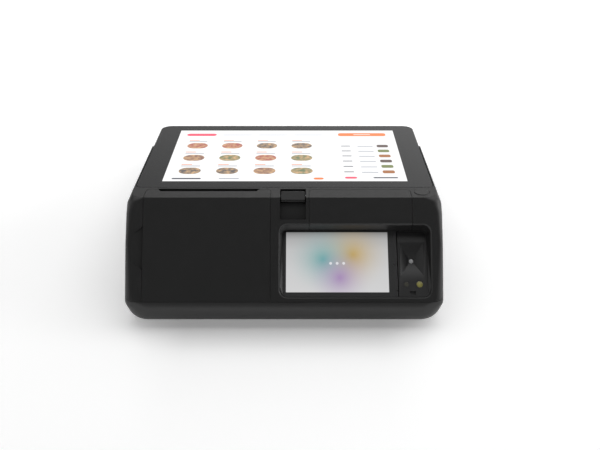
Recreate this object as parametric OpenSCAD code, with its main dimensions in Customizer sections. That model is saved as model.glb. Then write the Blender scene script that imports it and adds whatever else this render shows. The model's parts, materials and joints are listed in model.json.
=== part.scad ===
// Desktop payment and till terminal: wedge case, main touch display, receipt printer,
// customer display with a code scanner. Millimetres, +Z up, the customer side faces -Y.

/* [Case] */
// Width of the case at its widest
case_w = 268.4; // [255:0.1:290]
// How far each side leans in towards the top
side_lean = 3.2; // [1:0.1:5]
// Slope of the customer face from level, degrees
rear_slope = 42.5; // [40:0.5:46]
// Length of the customer face from the top crease down to the lip
rear_len = 88.3; // [86:0.1:96]
// Radius of the rounded lip under the customer face
lip_r = 14; // [13:0.5:16]
// Plan radius of the two bottom corners on the customer side
base_corner_r = 18.7; // [17:0.5:26]
// Plan radius of the two top corners on the customer side
top_corner_r = 14; // [9:0.5:18]
// Wall of the case shells
wall = 2.4; // [2:0.1:2.8]
// Distance from the top crease to the front wall of the base
base_t = 130; // [120:1:140]
// Foot of the base's front wall, ahead of the part's middle
base_y = 65; // [58:1:68]
// Radius of the base's front bottom edges
base_edge_r = 10; // [6:0.5:14]
// Gap at the seams between the case pieces
seam = 0.3; // [0.15:0.05:0.5]

/* [Main display] */
// Tilt of the main display from level, degrees
display_tilt = 15; // [12:0.5:18]
// Distance from the top crease to the display's front edge
top_len = 187; // [180:0.5:195]
// Distance from the top crease to the display's rear edge
slab_t0 = 22; // [21:0.25:25]
// Step between the case's top edge and the display frame, each side
slab_step = 1.1; // [0.9:0.1:3]
// Thickness of the display frame
slab_h = 12; // [10:0.25:14]
// Corner radius at the front of the display
slab_front_r = 10.5; // [6:0.5:16]
// Corner radius at the rear of the display
slab_rear_r = 6; // [3:0.5:9]
// Rim of the frame around the cover glass
glass_rim = 0.5; // [0.3:0.1:1]
// Thickness of the cover glass
glass_h = 1.8; // [1.2:0.1:2.4]
// Width of the lit area
lit_w = 217; // [200:0.5:225]
// Depth of the lit area
lit_l = 135.6; // [125:0.2:140]
// Distance from the top crease to the lit area
lit_t0 = 35.9; // [33:0.1:40]

/* [Printer] */
// Distance from the case's side to the printer cover
cover_side = 15.2; // [14:0.1:18]
// Right edge of the printer cover
cover_x1 = -11.7; // [-13:0.1:-10]
// Top edge of the printer cover, from the crease
cover_t = 17.6; // [16.5:0.1:18.4]
// Corner radius of the cover's top edge
cover_corner_r = 4.5; // [2:0.5:7]
// Width of the paper slot at its far edge
slot_w = 88; // [82:0.5:90]
// Near edge of the paper slot, from the crease
slot_t0 = 13.6; // [13:0.1:14.6]
// Far edge of the paper slot, from the crease
slot_t1 = 18.8; // [18.4:0.1:19.4]
// Distance from the cover's right edge to the middle of the paper roll
roll_side = 53.65; // [52:0.05:55]
// Width of the paper roll
roll_w = 80; // [57:0.5:80]
// Radius of the paper roll
roll_r = 25; // [18:0.25:25]
// Radius of the platen's rubber
platen_r = 5; // [4:0.1:5.5]
// Opening angle of the cover, degrees
cover_open = 70; // [30:1:70]

/* [Controls] */
// Left edge of the release lever
lever_x0 = -3.3; // [-4:0.1:-2.5]
// Width of the release lever
lever_w = 21.4; // [16:0.1:22]
// Service panel's left edge
panel_x0 = 21.3; // [21:0.1:24]
// Distance from the case's side to the service panel
panel_side = 26.1; // [25:0.1:34]
// Service panel's top edge, from the crease
panel_t = 17.3; // [15:0.1:19]
// Distance from the case's side to the middle of the power button
button_side = 16.2; // [15.5:0.1:18]
// Power button's place, from the crease
button_t = 11.7; // [11:0.1:12.5]
// Radius of the power button
button_r = 6.5; // [4:0.1:6.6]
// Travel of the power button
button_travel = 0.8; // [0.4:0.1:0.8]

/* [Customer side] */
// Left edge of the customer recess
recess_x0 = -3.7; // [-4.5:0.1:-3]
// Distance from the case's side to the customer recess
recess_side = 10.8; // [10:0.1:14]
// Top edge of the recess, down the customer face
recess_r0 = 23.2; // [22:0.1:24]
// Strip of the customer face left below the recess
recess_strip = 4; // [3:0.1:6]
// Lean of the customer screen behind the customer face, degrees
screen_lean = 11; // [8:0.5:12]
// Depth of the screen at the recess's foot
recess_foot = 0.6; // [0.4:0.1:1]
// Dark border of the customer screen beside the scanner
screen_side = 7.3; // [4:0.1:9]
// Dark border above the customer screen
screen_head = 1.4; // [1:0.1:9]
// Left edge of the lit customer screen
screen_x0 = 1.6; // [1:0.1:2.5]
// Foot of the lit customer screen, up from the recess's foot
screen_q0 = 4.4; // [3.5:0.1:5]
// Width of the scanner
scan_w = 24.2; // [22:0.1:27]
// Width of the scanner's funnel
funnel_w = 19.7; // [14:0.1:20]
// Height of the scanner's funnel
funnel_l = 28.1; // [20:0.1:30]
// Depth of the scanner's funnel
funnel_deep = 5; // [4:0.25:9]

/* [Feet and fasteners] */
// Height of the rubber feet
foot_h = 2; // [1:0.1:4]
// Radius of the rubber feet
foot_r = 7; // [4:0.5:9]
// Shank radius of the case screws
case_screw_r = 1.5; // [1.2:0.1:1.8]
// Shank radius of the small screws
small_screw_r = 1.2; // [0.9:0.1:1.3]

/* [Hidden] */
$fn = 32;
// Running clearance of shafts, fit of seated pieces, gap between moving faces, thin slice
run_fit = 0.05;
seat_fit = 0.2;
move_gap = 0.3;
sliver = 0.01;
big = 400;

// Side profile: lip centre, crease between the top and the customer face, seam height
fold = rear_slope + display_tilt;
crease_share = tan(fold/2);
lip_z = foot_h + lip_r;
lip_y = (lip_r + lip_r*sin(rear_slope) - rear_len*cos(rear_slope) - top_len*cos(display_tilt))/2;
crease_y = lip_y - lip_r*sin(rear_slope) + rear_len*cos(rear_slope);
crease_z = lip_z + lip_r*cos(rear_slope) + rear_len*sin(rear_slope);
split_z = lip_z + lip_r*cos(rear_slope);
split_y = lip_y - lip_r*sin(rear_slope);
floor_z = foot_h + wall;

// Widths and places tied to the case's sides
top_w = case_w - 2*side_lean;
slab_w = top_w - 2*slab_step;
slab_gap = 0.4;
cover_x0 = -case_w/2 + cover_side;
panel_x1 = case_w/2 - panel_side;
button_x = case_w/2 - button_side;
recess_x1 = case_w/2 - recess_side;
recess_r1 = rear_len - recess_strip;

// Rounded side edges: [down the face, set in from the case's side, radius]
edge_r = 3;
edge_stations = [[4.75, 0, 8.5], [13, 0, 5.9], [rear_len*0.45, 0.1, 4], [rear_len - 2.65, 0.1, 8]];
front_edge_r = 6;
shoulder_drop = 20;

// Lid rims that back the edges of the printer cover and the service panel
rim_h = 2.2;
rim_under = 2;
rim_beside = 4.5;

// Finger scoop beside the printer cover
scoop_r = 43;
scoop_w = 9.6;
scoop_short = 22;
scoop_long = 39;
scoop_deep = 2;

// Hinge of the printer cover: the axis lies inside the lip, the arms pass behind it
hinge_y = split_y - 0.05;
hinge_z = lip_z;
hinge_pin_r = 1;
knuckle_r = 1.8;
arm_h = 2.4;
arm_w = 4;
arm_inset = 2.6;
arm_path = [[0, 0], [12, -3], [18, 4], [20, 16], [21, 32]];
hinge_cheek = 2;

// Paper bucket: its roll lies just over the floor and just behind the cover
bucket_wall = 1.3;
roll_gap = 0.88;
bucket_z = floor_z + roll_r + move_gap + bucket_wall + 1.5;
bucket_y = crease_y + (roll_r + wall + roll_gap - (crease_z - bucket_z)*cos(rear_slope))/sin(rear_slope);

// Print line, as [from the crease, below the top plane]
platen_t = 10;
platen_n = -10;
platen_shaft_r = 2;
bush_r = 3;
holder_w = 3;
gear_module = 0.6;
platen_teeth = 22;
idler_teeth = 18;
pinion_teeth = 12;
gear_w = 3;
backlash = 0.15;
idler_dir = 50;
motor_gap = 1.12;
motor_r = 10;
idler_t = platen_t + mesh_gap(platen_teeth, idler_teeth)*cos(idler_dir);
idler_n = platen_n - mesh_gap(platen_teeth, idler_teeth)*sin(idler_dir);
motor_dir = 60;
pinion_dir = min(motor_dir, -motor_angle(bucket_t() - idler_t, bucket_n() - idler_n,
    mesh_gap(idler_teeth, pinion_teeth), motor_r + motor_gap + bucket_wall + move_gap + roll_r));
pinion_t = idler_t + mesh_gap(idler_teeth, pinion_teeth)*cos(pinion_dir);
pinion_n = idler_n - mesh_gap(idler_teeth, pinion_teeth)*sin(pinion_dir);
idler_pin_r = 1.2;
motor_shaft_r = 1;
motor_l = 16;
plate = 1.2;
head_h = 2.6;
tear_h = 0.8;
head_n0 = -5.5;
head_n1 = -16;
sink_h = 1.4;
spring_seat_t = 26;
leg_drop = 40;
head_spring_r = 2.2;
head_spring_n = -15;
seat_drop = 5.4;
wire_r = 0.4;

// Printer pieces along X: the slot's middle is the roll's middle
slot_x = cover_x1 - roll_side;
roll_x0 = slot_x - roll_w/2;
roll_x1 = slot_x + roll_w/2;
bucket_x0 = roll_x0 - seat_fit - bucket_wall;
bucket_x1 = roll_x1 + seat_fit + bucket_wall;
plate_gap = 1;
plate_x0 = bucket_x0 - plate_gap - plate;
plate_x1 = bucket_x1 + plate_gap + plate;
gear_x0 = plate_x1 + 2.4;
gear_x1 = gear_x0 + gear_w;

// Release lever, as [from the crease, below the top plane]
lever_x1 = lever_x0 + lever_w;
lever_t = 13.2;
lever_n = -5;
lever_head_r = 4.7;
lever_tail_r = 1.6;
lever_tail_t = 1.6;
lever_tail_n = -3.6;
lever_round = 1.2;
lever_shaft_r = 1.5;
lever_swing = 20;
pocket_t = lever_t + lever_head_r + 0.4;
pocket_n = -10.5;
pocket_r = 19;
ramp_r = 18.2;
ramp_o = -5.2;
finger_r = 4;
finger_o = -6;
pocket_wall = 2;
cam_x1 = cover_x1 - 0.5;
cam_w = 3;
cam_reach = 6.5;
cam_hub = 0.7;

// Power button and its switch
flange_r = button_r + 0.7;
flange_h = 1;
stem_r = 2;
stem_l = 4.6;
button_proud = 0.3;
switch_n = -12;
post_r = 1.2;
post_spread = [-9.1, 8.5];
board_h = 1.2;

// Customer screen and scanner, measured in the screen's own plane
draft = 2.4;
top_draft = 3.77;
glass_fit = 0.1;
recess_corner_r = 6.5;
recess_flare = 0.9;
tub_wall = 2;
screen_deep = 5;
screen_glass_h = 1.2;
screen_lcd_h = 3;
screen_edge = 4.6;
clip_w = 3.7;
clip_q = [6.1, 28.3];
clip_line = 0.3;
screen_gap = 0.7;
scan_x0 = recess_x1 - draft - 2*seam - scan_w;
screen_w = scan_x0 - screen_gap - screen_side - screen_x0;
floor_q1 = (recess_r1 - recess_r0)/cos(screen_lean) - top_draft;
screen_h = floor_q1 - screen_head - screen_q0;
funnel = [funnel_w, funnel_l];
funnel_x = scan_x0 + 11.8;
funnel_q = 32.7;
funnel_foot = 4.4;
funnel_wall = 0.8;
panel_foot = 1;
lens_r = 1.9;
camera_h = 6;
light_q = 11.3;
scan_light_x = scan_x0 + 6.4;
scan_light_r = 2.15;
aim_light_x = scan_x0 + 17.6;
aim_light_r = 2.7;

// Board, sockets and fasteners in the base
board_x0 = 20;
board_y0 = -38;
board_y1 = 48;
board_z = 12;
board_pcb = 1.6;
board_x1 = case_w/2 - wall - 2;
socket_x1 = case_w/2 - 0.8;
socket_z = board_z + board_pcb;
boss_r = 4;
case_screw_y = [-45, 57];
case_screw_x = case_w/2 - 10.5;
case_boss_h = 16;
case_head_r = 3;
case_head_h = 1.8;
small_head_r = 2.4;
small_head_h = 1.4;
board_screw_x = [board_x0 + 5, board_x1 - 22];
board_screw_y = [board_y0 + 5, board_y1 - 5];
rail_h = 2.5;
rail_w = 8;
rail_reach = case_w/2 - wall - slab_w/2 + rail_w;
display_screw_t = [slab_t0 + 18, base_t - 22];
display_screw_x = slab_w/2 - 4.5;
frame_floor = 2.4;
feet_x = 105;
feet_y = [lip_y + 15, base_y - 17];

// The paper bucket's axis, as [from the crease, below the top plane]
function bucket_t() = (bucket_y - crease_y)*cos(display_tilt) - (bucket_z - crease_z)*sin(display_tilt);
function bucket_n() = (bucket_y - crease_y)*sin(display_tilt) + (bucket_z - crease_z)*cos(display_tilt);

// Direction from the idler to the motor, which meshes with it and clears the bucket
function motor_angle(t, n, reach, clear) =
    atan2(n, t) + acos((reach*reach + t*t + n*n - clear*clear)/(2*reach*norm([t, n])));

// Distance between the axes of two meshing gears
function mesh_gap(teeth_a, teeth_b) = gear_module*(teeth_a + teeth_b)/2 + backlash;

// A point on the customer face, down it and out of it, in the top plane's own axes
function rear_to_top(r, o) = [-r*cos(fold) - o*sin(fold), -r*sin(fold) + o*cos(fold)];

// Axes on the top plane at the crease: Y runs to the front, Z points out
module top_frame() {
    translate([0, crease_y, crease_z]) rotate([-display_tilt, 0, 0]) children();
}

// Axes on the customer face at the crease: Y runs up the face, Z points out
module rear_frame() {
    translate([0, crease_y, crease_z]) rotate([rear_slope, 0, 0]) children();
}

// Axes on the customer screen at the recess's foot: Y runs up the screen, Z points out
module screen_frame() {
    rear_frame() translate([0, -recess_r1, -recess_foot]) rotate([-screen_lean, 0, 0]) children();
}

// A side profile in Y and Z carried along X
module along_x(x0, x1) {
    translate([x0, 0, 0]) rotate([90, 0, 90]) linear_extrude(x1 - x0) children();
}

// A round bar along X
module rod(x0, x1, r) {
    translate([x0, 0, 0]) rotate([0, 90, 0]) cylinder(r = r, h = x1 - x0);
}

// Round bars along X that make one bar with rounded ends when hulled
module soft_rod(x0, x1, r, f) {
    for (a = [0 : 30 : 90]) rod(x0 + f*(1 - sin(a)), x1 - f*(1 - sin(a)), r - f*(1 - cos(a)));
}

// A rectangle from two corners, with its near and far corners rounded
module rounded(x0, x1, y0, y1, r0, r1) {
    for (side = [[x0, 1], [x1, -1]]) {
        translate([side[0] + side[1]*r0, y0 + r0]) circle(r0);
        translate([side[0] + side[1]*r1, y1 - r1]) circle(r1);
    }
    translate([x0, y0 + r0]) square([x1 - x0, y1 - y0 - r0 - r1]);
    translate([x0 + r0, y0]) square([x1 - x0 - 2*r0, r0]);
    translate([x0 + r1, y1 - r1]) square([x1 - x0 - 2*r1, r1]);
}

// A block from two corners
module block(low, high) {
    translate(low) cube(high - low);
}

// A ball whose outermost points lie on its axes
module ball(r) {
    rotate_extrude() intersection() {
        circle(r);
        translate([0, -r]) square([r, 2*r]);
    }
}

// A straight bar with round ends, in its own plane
module strut(from, to, w) {
    run = to - from;
    translate(from) rotate(atan2(run[1], run[0])) translate([0, -w/2]) square([norm(run), w]);
    for (end = [from, to]) translate(end) circle(w/2);
}

// A coil spring along Z, one unbroken tube of six sides
module coil(r, wire, length, turns) {
    steps = turns*12;
    sides = 6;
    points = [for (i = [0 : steps]) for (j = [0 : sides - 1])
        let (turn = 360*turns*i/steps, ring = r + wire*cos(360*j/sides))
        [ring*cos(turn), ring*sin(turn), wire + (length - 2*wire)*i/steps + wire*sin(360*j/sides)]];
    skin = [for (i = [0 : steps - 1]) for (j = [0 : sides - 1])
        let (a = i*sides + j, b = i*sides + (j + 1)%sides)
        each [[a, a + sides, b], [b, a + sides, b + sides]]];
    low = [for (j = [1 : sides - 2]) [0, j, j + 1]];
    high = [for (j = [1 : sides - 2]) [steps*sides, steps*sides + j + 1, steps*sides + j]];
    polyhedron(points, concat(skin, low, high));
}

// A spur gear along X with straight-sided teeth, turned by part of a pitch
module gear(teeth, x0, x1, bore, turn) {
    pitch_r = gear_module*teeth/2;
    root_r = pitch_r - 1.2*gear_module;
    tip_r = pitch_r + 0.9*gear_module;
    step = 360/teeth;
    along_x(x0, x1) difference() {
        union() {
            circle(root_r);
            for (i = [0 : teeth - 1]) rotate(turn + i*step) polygon([
                [root_r - 0.3, -0.8*gear_module], [tip_r, -0.32*gear_module],
                [tip_r, 0.32*gear_module], [root_r - 0.3, 0.8*gear_module]]);
        }
        circle(bore);
    }
}

// The whole case as one smooth solid, or its hollow when set in by the wall
module case_solid(inset) {
    hull() for (side = [-1, 1]) {
        top_frame() {
            translate([side*(top_w/2 - top_corner_r - inset*(1 - crease_share)), top_corner_r, -inset - sliver])
                cylinder(r = top_corner_r - inset*crease_share, h = sliver);
            translate([side*(top_w/2 - front_edge_r), base_t - front_edge_r, -inset - sliver])
                cylinder(r = front_edge_r - inset, h = sliver);
            translate([side*(case_w/2 - edge_r), base_t - front_edge_r, -shoulder_drop])
                ball(edge_r - inset);
        }
        rear_frame() for (s = edge_stations)
            translate([side*(case_w/2 - s[1] - s[2]), -s[0], -s[2]]) ball(s[2] - inset);
        translate([side*(case_w/2 - base_corner_r), lip_y + base_corner_r - lip_r, lip_z])
            rotate_extrude() intersection() {
                translate([base_corner_r - lip_r, 0]) circle(lip_r - inset);
                translate([0, -lip_r]) square([base_corner_r, 2*lip_r]);
            }
        translate([side*(case_w/2 - base_edge_r), base_y - base_edge_r, foot_h + base_edge_r])
            ball(base_edge_r - inset);
    }
}

// The case's wall
module case_shell() {
    difference() {
        case_solid(0);
        case_solid(wall);
    }
}

// Everything above, or below, the seam between the two shells
module above_seam(gap) {
    block([-big, -big, split_z + gap], [big, big, big]);
}

// What a lid on the top edge covers, grown by a gap
module lid_space(x0, x1, t, gap) {
    top_frame() translate([0, 0, -big/2]) linear_extrude(big)
        rounded(x0 - gap, x1 + gap, -big/2, t + gap, cover_corner_r, cover_corner_r + gap);
}

// Strips that back the side edges of a lid on the customer face
module lid_rims(x0, x1, r0, r1, gap) {
    rear_frame() for (edge = [[x0, 1], [x1, -1]]) {
        outer = edge[0] - edge[1]*rim_beside;
        under = edge[0] + edge[1]*rim_under;
        beside = edge[0] - edge[1]*2*seam;
        block([min(outer, under), -r1, -wall - rim_h], [max(outer, under), -r0, -wall - gap]);
        block([min(outer, beside), -r1, -wall - rim_h], [max(outer, beside), -r0, -wall/2]);
    }
}

// The paper slot, with its far edge the longer one
module paper_slot() {
    slant = (slot_t1 - slot_t0)/2;
    top_frame() translate([0, 0, -2*wall]) linear_extrude(3*wall) polygon([
        [slot_x - slot_w/2, slot_t1], [slot_x + slot_w/2, slot_t1],
        [slot_x + slot_w/2 - slant, slot_t0], [slot_x - slot_w/2 + slant, slot_t0]]);
}

// Outline of the recess at the customer face, and of the screen's seat, each grown
module recess_rim(grow) {
    rounded(recess_x0 - grow, recess_x1 + grow, -recess_r1 - grow, -recess_r0 + grow,
        recess_corner_r + grow, recess_corner_r + grow);
}

module recess_floor(grow) {
    corner = recess_corner_r - draft + grow;
    rounded(recess_x0 + draft - grow, recess_x1 - draft + grow, seat_fit - grow, floor_q1 + grow,
        corner, corner);
}

// The room cut for the customer screen: a flared mouth, slanting walls and a straight seat
module recess_room() {
    hull() {
        rear_frame() linear_extrude(sliver) recess_rim(0);
        screen_frame() linear_extrude(sliver) recess_floor(0);
    }
    hull() {
        rear_frame() linear_extrude(recess_flare) recess_rim(recess_flare);
        rear_frame() translate([0, 0, -recess_flare]) linear_extrude(sliver) recess_rim(-sliver);
    }
    screen_frame() {
        translate([0, 0, -screen_deep]) linear_extrude(screen_deep + seam) recess_floor(-seam);
        block([funnel_x - funnel[0]/2 - 2*funnel_wall, funnel_q - funnel[1]/2 - 2*funnel_wall, -big],
            [funnel_x + funnel[0]/2 + 2*funnel_wall, funnel_q + funnel[1]/2 + 2*funnel_wall, 0]);
    }
}

// The walls and floor round that room, joined to the case's wall
module recess_tub() {
    hull() {
        rear_frame() translate([0, 0, -wall]) linear_extrude(wall/2) recess_rim(tub_wall);
        screen_frame() translate([0, 0, -screen_deep - tub_wall]) linear_extrude(tub_wall)
            recess_floor(tub_wall);
    }
}

// Side profile of the lever's pocket: the cut itself, or its walls when grown
module pocket_profile(grow, top_n, face_o) {
    polygon([[pocket_t + grow, top_n], [pocket_t + grow, pocket_n - grow], [lever_t, pocket_n - grow],
        rear_to_top(finger_r, finger_o - grow), rear_to_top(ramp_r + grow, ramp_o - grow),
        rear_to_top(pocket_r + grow, min(face_o, 0)),
        rear_to_top(pocket_r + grow, face_o), [face_o*-crease_share, top_n]]);
}

// The case's wall with the recess's tub and room, before it is parted into pieces
module upper_shell() {
    difference() {
        union() {
            case_shell();
            recess_tub();
        }
        recess_room();
    }
}

// What the service panel takes out of the upper shell
module panel_space(gap) {
    intersection() {
        lid_space(panel_x0, panel_x1, panel_t, gap);
        rear_frame() block([-big, -(recess_r0 + recess_r1)/2, -big], [big, big, big]);
        screen_frame() block([-big, -big, panel_foot - gap], [big, big, big]);
    }
}

// Holes on the four corners of the case's screws
module case_screw_places() {
    for (side = [-1, 1]) for (y = case_screw_y) translate([side*case_screw_x, y, 0]) children();
}

module board_screw_places() {
    for (x = board_screw_x) for (y = board_screw_y) translate([x, y, 0]) children();
}

module display_screw_places() {
    top_frame() for (side = [-1, 1]) for (t = display_screw_t)
        translate([side*display_screw_x, t, -slab_h]) children();
}

// The sockets on the base's right side: [middle along Y, width, height]
lan_socket = [-22, 16, 11.4];
drawer_socket = [-3, 13, 11.4];
usb_sockets = [[14, 14.4, 7], [31, 14.4, 7]];
jack_socket = [43, 8.6, 10];
sockets = concat([lan_socket, drawer_socket], usb_sockets, [jack_socket]);

module base_tray() {
    cheek_x = [for (x = arm_places()) each [x - hinge_cheek - move_gap, x + arm_w + move_gap]];
    color("#1e1f21") difference() {
        union() {
            difference() {
                case_shell();
                above_seam(-seam/2);
            }
            case_screw_places() translate([0, 0, floor_z - wall/2])
                cylinder(r = boss_r, h = split_z - seam/2 - floor_z + wall/2);
            board_screw_places() translate([0, 0, floor_z - wall/2])
                cylinder(r = boss_r, h = board_z - floor_z + wall/2);
            for (x = cheek_x) along_x(x, x + hinge_cheek) hinge_cheek_profile();
        }
        case_screw_places() {
            translate([0, 0, -sliver]) cylinder(r = case_screw_r + seat_fit, h = big);
            translate([0, 0, -sliver]) cylinder(r = case_head_r + seat_fit, h = foot_h + case_head_h + sliver);
        }
        board_screw_places() translate([0, 0, floor_z]) cylinder(r = small_screw_r + run_fit, h = big);
        for (s = sockets) block([case_w/2 - 2*wall, s[0] - s[1]/2 - seat_fit, socket_z - seat_fit],
            [big, s[0] + s[1]/2 + seat_fit, socket_z + s[2] + seat_fit]);
        speaker_slots();
        translate([0, hinge_y, hinge_z]) rod(cover_x0, cover_x1, hinge_pin_r + run_fit);
    }
}

// Where the hinge arms start along X
function arm_places() = [cover_x0 + arm_inset, cover_x1 - arm_inset - arm_w];

// A cheek beside a hinge arm, grown out of the lip and the floor
module hinge_cheek_profile() {
    mid_r = lip_r - wall/2;
    polygon(concat([for (a = [165, 195, 225, 255, 270]) [lip_y + mid_r*cos(a), lip_z + mid_r*sin(a)]],
        [[lip_y, floor_z], [lip_y - 3, lip_z + 3.6]]));
}

module speaker_slots() {
    for (i = [0 : speaker_slot_count - 1]) block(
        [-big, speaker_y + (i - (speaker_slot_count - 1)/2)*speaker_pitch - 0.75, speaker_z - 5],
        [-case_w/2 + 2*wall, speaker_y + (i - (speaker_slot_count - 1)/2)*speaker_pitch + 0.75, speaker_z + 5]);
}
speaker_slot_count = 9;
speaker_pitch = 3.4;
speaker_y = 28;
speaker_z = 19;

module rear_housing() {
    lever_walls = [lever_x0 - move_gap - pocket_wall, lever_x1 + move_gap + pocket_wall];
    color("#232426") difference() {
        union() {
            difference() {
                intersection() {
                    upper_shell();
                    above_seam(seam/2);
                }
                lid_space(cover_x0, cover_x1, cover_t, seam);
                panel_space(seam);
            }
            lid_rims(cover_x0, cover_x1, 6, rear_len - 6, move_gap);
            lid_rims(panel_x0, panel_x1, 5, recess_r0 - tub_wall, run_fit);
            rear_frame() block([cover_x0 - scoop_w - 2, -scoop_r - scoop_long/2, -wall - rim_h],
                [cover_x0 - 2*seam, -scoop_r + scoop_long/2, -wall/2]);
            top_frame() along_x(lever_walls[0], lever_walls[1]) pocket_profile(pocket_wall, -wall/2, -wall/2);
            top_frame() for (x = [-case_w/2 + wall, slab_w/2 - rail_w])
                block([x, slab_t0, -slab_h - rail_h], [x + rail_reach, base_t - 14, -slab_h - seat_fit]);
            case_screw_places() translate([0, 0, split_z + seam/2]) cylinder(r = boss_r, h = case_boss_h);
            for (side = [-1, 1]) for (y = case_screw_y) block(
                [min(side*case_screw_x, side*(case_w/2 - wall/2)), y - wall/2, split_z + seam/2],
                [max(side*case_screw_x, side*(case_w/2 - wall/2)), y + wall/2, split_z + seam/2 + case_boss_h]);
            top_frame() for (t = post_spread) translate([button_x, button_t + t, switch_n])
                cylinder(r = post_r, h = -switch_n - wall/2);
        }
        paper_slot();
        top_frame() {
            translate([0, 0, -slab_h]) linear_extrude(big) rounded(-slab_w/2 - slab_gap, slab_w/2 + slab_gap,
                slab_t0 - seat_fit, big, slab_rear_r + seat_fit, slab_rear_r);
            along_x(lever_x0 - move_gap, lever_x1 + move_gap) pocket_profile(0, wall, wall);
            translate([0, lever_t, lever_n]) rod(lever_walls[0] - 1, lever_walls[1] + 1, lever_shaft_r + run_fit);
            translate([button_x, button_t, -2*wall]) cylinder(r = button_r + move_gap, h = 3*wall);
        }
        rear_frame() translate([cover_x0 - scoop_w, -scoop_r, 0]) rotate([0, atan(scoop_deep/scoop_w), 0])
            linear_extrude(wall) polygon([[0, -scoop_short/2], [scoop_w + 1, -scoop_long/2],
                [scoop_w + 1, scoop_long/2], [0, scoop_short/2]]);
        case_screw_places() translate([0, 0, split_z]) cylinder(r = case_screw_r + run_fit, h = case_boss_h - 2);
        display_screw_places() translate([0, 0, -2*rail_h]) cylinder(r = small_screw_r + seat_fit, h = 2*rail_h);
    }
}

module display_frame() {
    glass_x = slab_w/2 - glass_rim;
    color("#2a2b2d") difference() {
        top_frame() difference() {
            translate([0, 0, -slab_h]) linear_extrude(slab_h - seat_fit) rounded(-slab_w/2, slab_w/2, slab_t0,
                top_len, slab_rear_r, slab_front_r);
            translate([0, 0, -glass_h]) linear_extrude(big) rounded(-glass_x, glass_x, slab_t0 + glass_rim,
                top_len - glass_rim, slab_rear_r - glass_rim, slab_front_r - glass_rim);
            block([-lcd_x() - seat_fit, lcd_t0() - seat_fit, -slab_h + frame_floor],
                [lcd_x() + seat_fit, lcd_t1() + seat_fit, big]);
        }
        display_screw_places() cylinder(r = small_screw_r + run_fit, h = frame_floor - 0.4);
    }
}

// Outline of the main panel behind the glass
lcd_edge = 5;
function lcd_x() = lit_w/2 + lcd_edge;
function lcd_t0() = lit_t0 - lcd_edge;
function lcd_t1() = lit_t0 + lit_l + lcd_edge;
lcd_h = 3.4;

module main_glass() {
    x = slab_w/2 - glass_rim - run_fit;
    color("#101113") top_frame() translate([0, 0, -glass_h]) linear_extrude(glass_h)
        rounded(-x, x, slab_t0 + glass_rim + run_fit, top_len - glass_rim - run_fit,
            slab_rear_r - glass_rim, slab_front_r - glass_rim);
}

module main_lcd() {
    color("#e8eaec") top_frame()
        block([-lcd_x(), lcd_t0(), -glass_h - lcd_h], [lcd_x(), lcd_t1(), -glass_h]);
}

module service_panel() {
    color("#232426") intersection() {
        upper_shell();
        panel_space(0);
    }
}

module tap_antenna() {
    margin = 6;
    color("#2f6b46") top_frame() block([panel_x0 + margin, 4, -wall - board_h], [panel_x1 - margin, 16, -wall]);
}

// Right edge of the customer screen's module
function screen_x1() = screen_x0 + screen_w + screen_side;

// A plate of the customer screen's outline, kept clear of the seat's corners
module screen_plate(low, high) {
    intersection() {
        block([screen_x0 - screen_edge, screen_q0 - screen_edge, low],
            [screen_x1(), screen_q0 + screen_h + screen_edge, high]);
        translate([0, 0, -2*screen_deep]) linear_extrude(3*screen_deep) recess_floor(-seam - glass_fit);
    }
}

module customer_glass() {
    color("#131416") screen_frame() difference() {
        screen_plate(-screen_glass_h, 0);
        for (q = clip_q)
            block([screen_x1() - clip_w, q - clip_line/2, -screen_glass_h/2], [screen_x1() + 1, q + clip_line/2, 1]);
    }
}

module customer_lcd() {
    color("#c9ccd0") screen_frame() screen_plate(-screen_deep, -screen_glass_h);
}

module scanner_bezel() {
    back = funnel_deep + 3;
    color("#232426") screen_frame() difference() {
        union() {
            intersection() {
                block([scan_x0, 0, -screen_deep], [scan_x0 + 2*scan_w, floor_q1, 0]);
                translate([0, 0, -2*screen_deep]) linear_extrude(3*screen_deep) recess_floor(-seam - glass_fit);
            }
            block([funnel_x - funnel[0]/2 - funnel_wall, funnel_q - funnel[1]/2 - funnel_wall, -back],
                [funnel_x + funnel[0]/2 + funnel_wall, funnel_q + funnel[1]/2 + funnel_wall, -screen_deep]);
        }
        translate([funnel_x, funnel_q, 0]) funnel_cut();
        translate([funnel_x, funnel_q, -big/2]) cylinder(r = lens_r + run_fit, h = big/2);
        translate([scan_light_x, light_q, -big/2]) cylinder(r = scan_light_r + run_fit, h = big);
        translate([aim_light_x, light_q, -big/2]) cylinder(r = aim_light_r + run_fit, h = big);
        block([scan_x0 + 9.2, 2.2, -1.5], [scan_x0 + 14.2, 5.4, 1]);
        translate([0, floor_q1 - 10, 0]) rotate([-6, 0, 0]) block([scan_x0 - 1, 0, 0], [scan_x0 + scan_w + 1, 30, 9]);
    }
}

// A four-sided funnel, its wide mouth at the screen's plane
module funnel_cut() {
    f = funnel_foot/2;
    a = funnel[0]/2;
    b = funnel[1]/2;
    polyhedron([[-a, -b, sliver], [a, -b, sliver], [a, b, sliver], [-a, b, sliver],
        [-f, -f, -funnel_deep], [f, -f, -funnel_deep], [f, f, -funnel_deep], [-f, f, -funnel_deep]],
        [[0, 3, 2, 1], [4, 5, 6, 7], [0, 1, 5, 4], [1, 2, 6, 5], [2, 3, 7, 6], [3, 0, 4, 7]]);
}

module scanner_lens() {
    color("#9fb4bd") screen_frame() translate([funnel_x, funnel_q, -funnel_deep - 3])
        rotate_extrude() polygon(concat([[0, 0], [lens_r, 0], [lens_r, 3]],
            [for (a = [0 : 15 : 90]) [lens_r*cos(a), 3 + 0.6*sin(a)]]));
}

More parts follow.
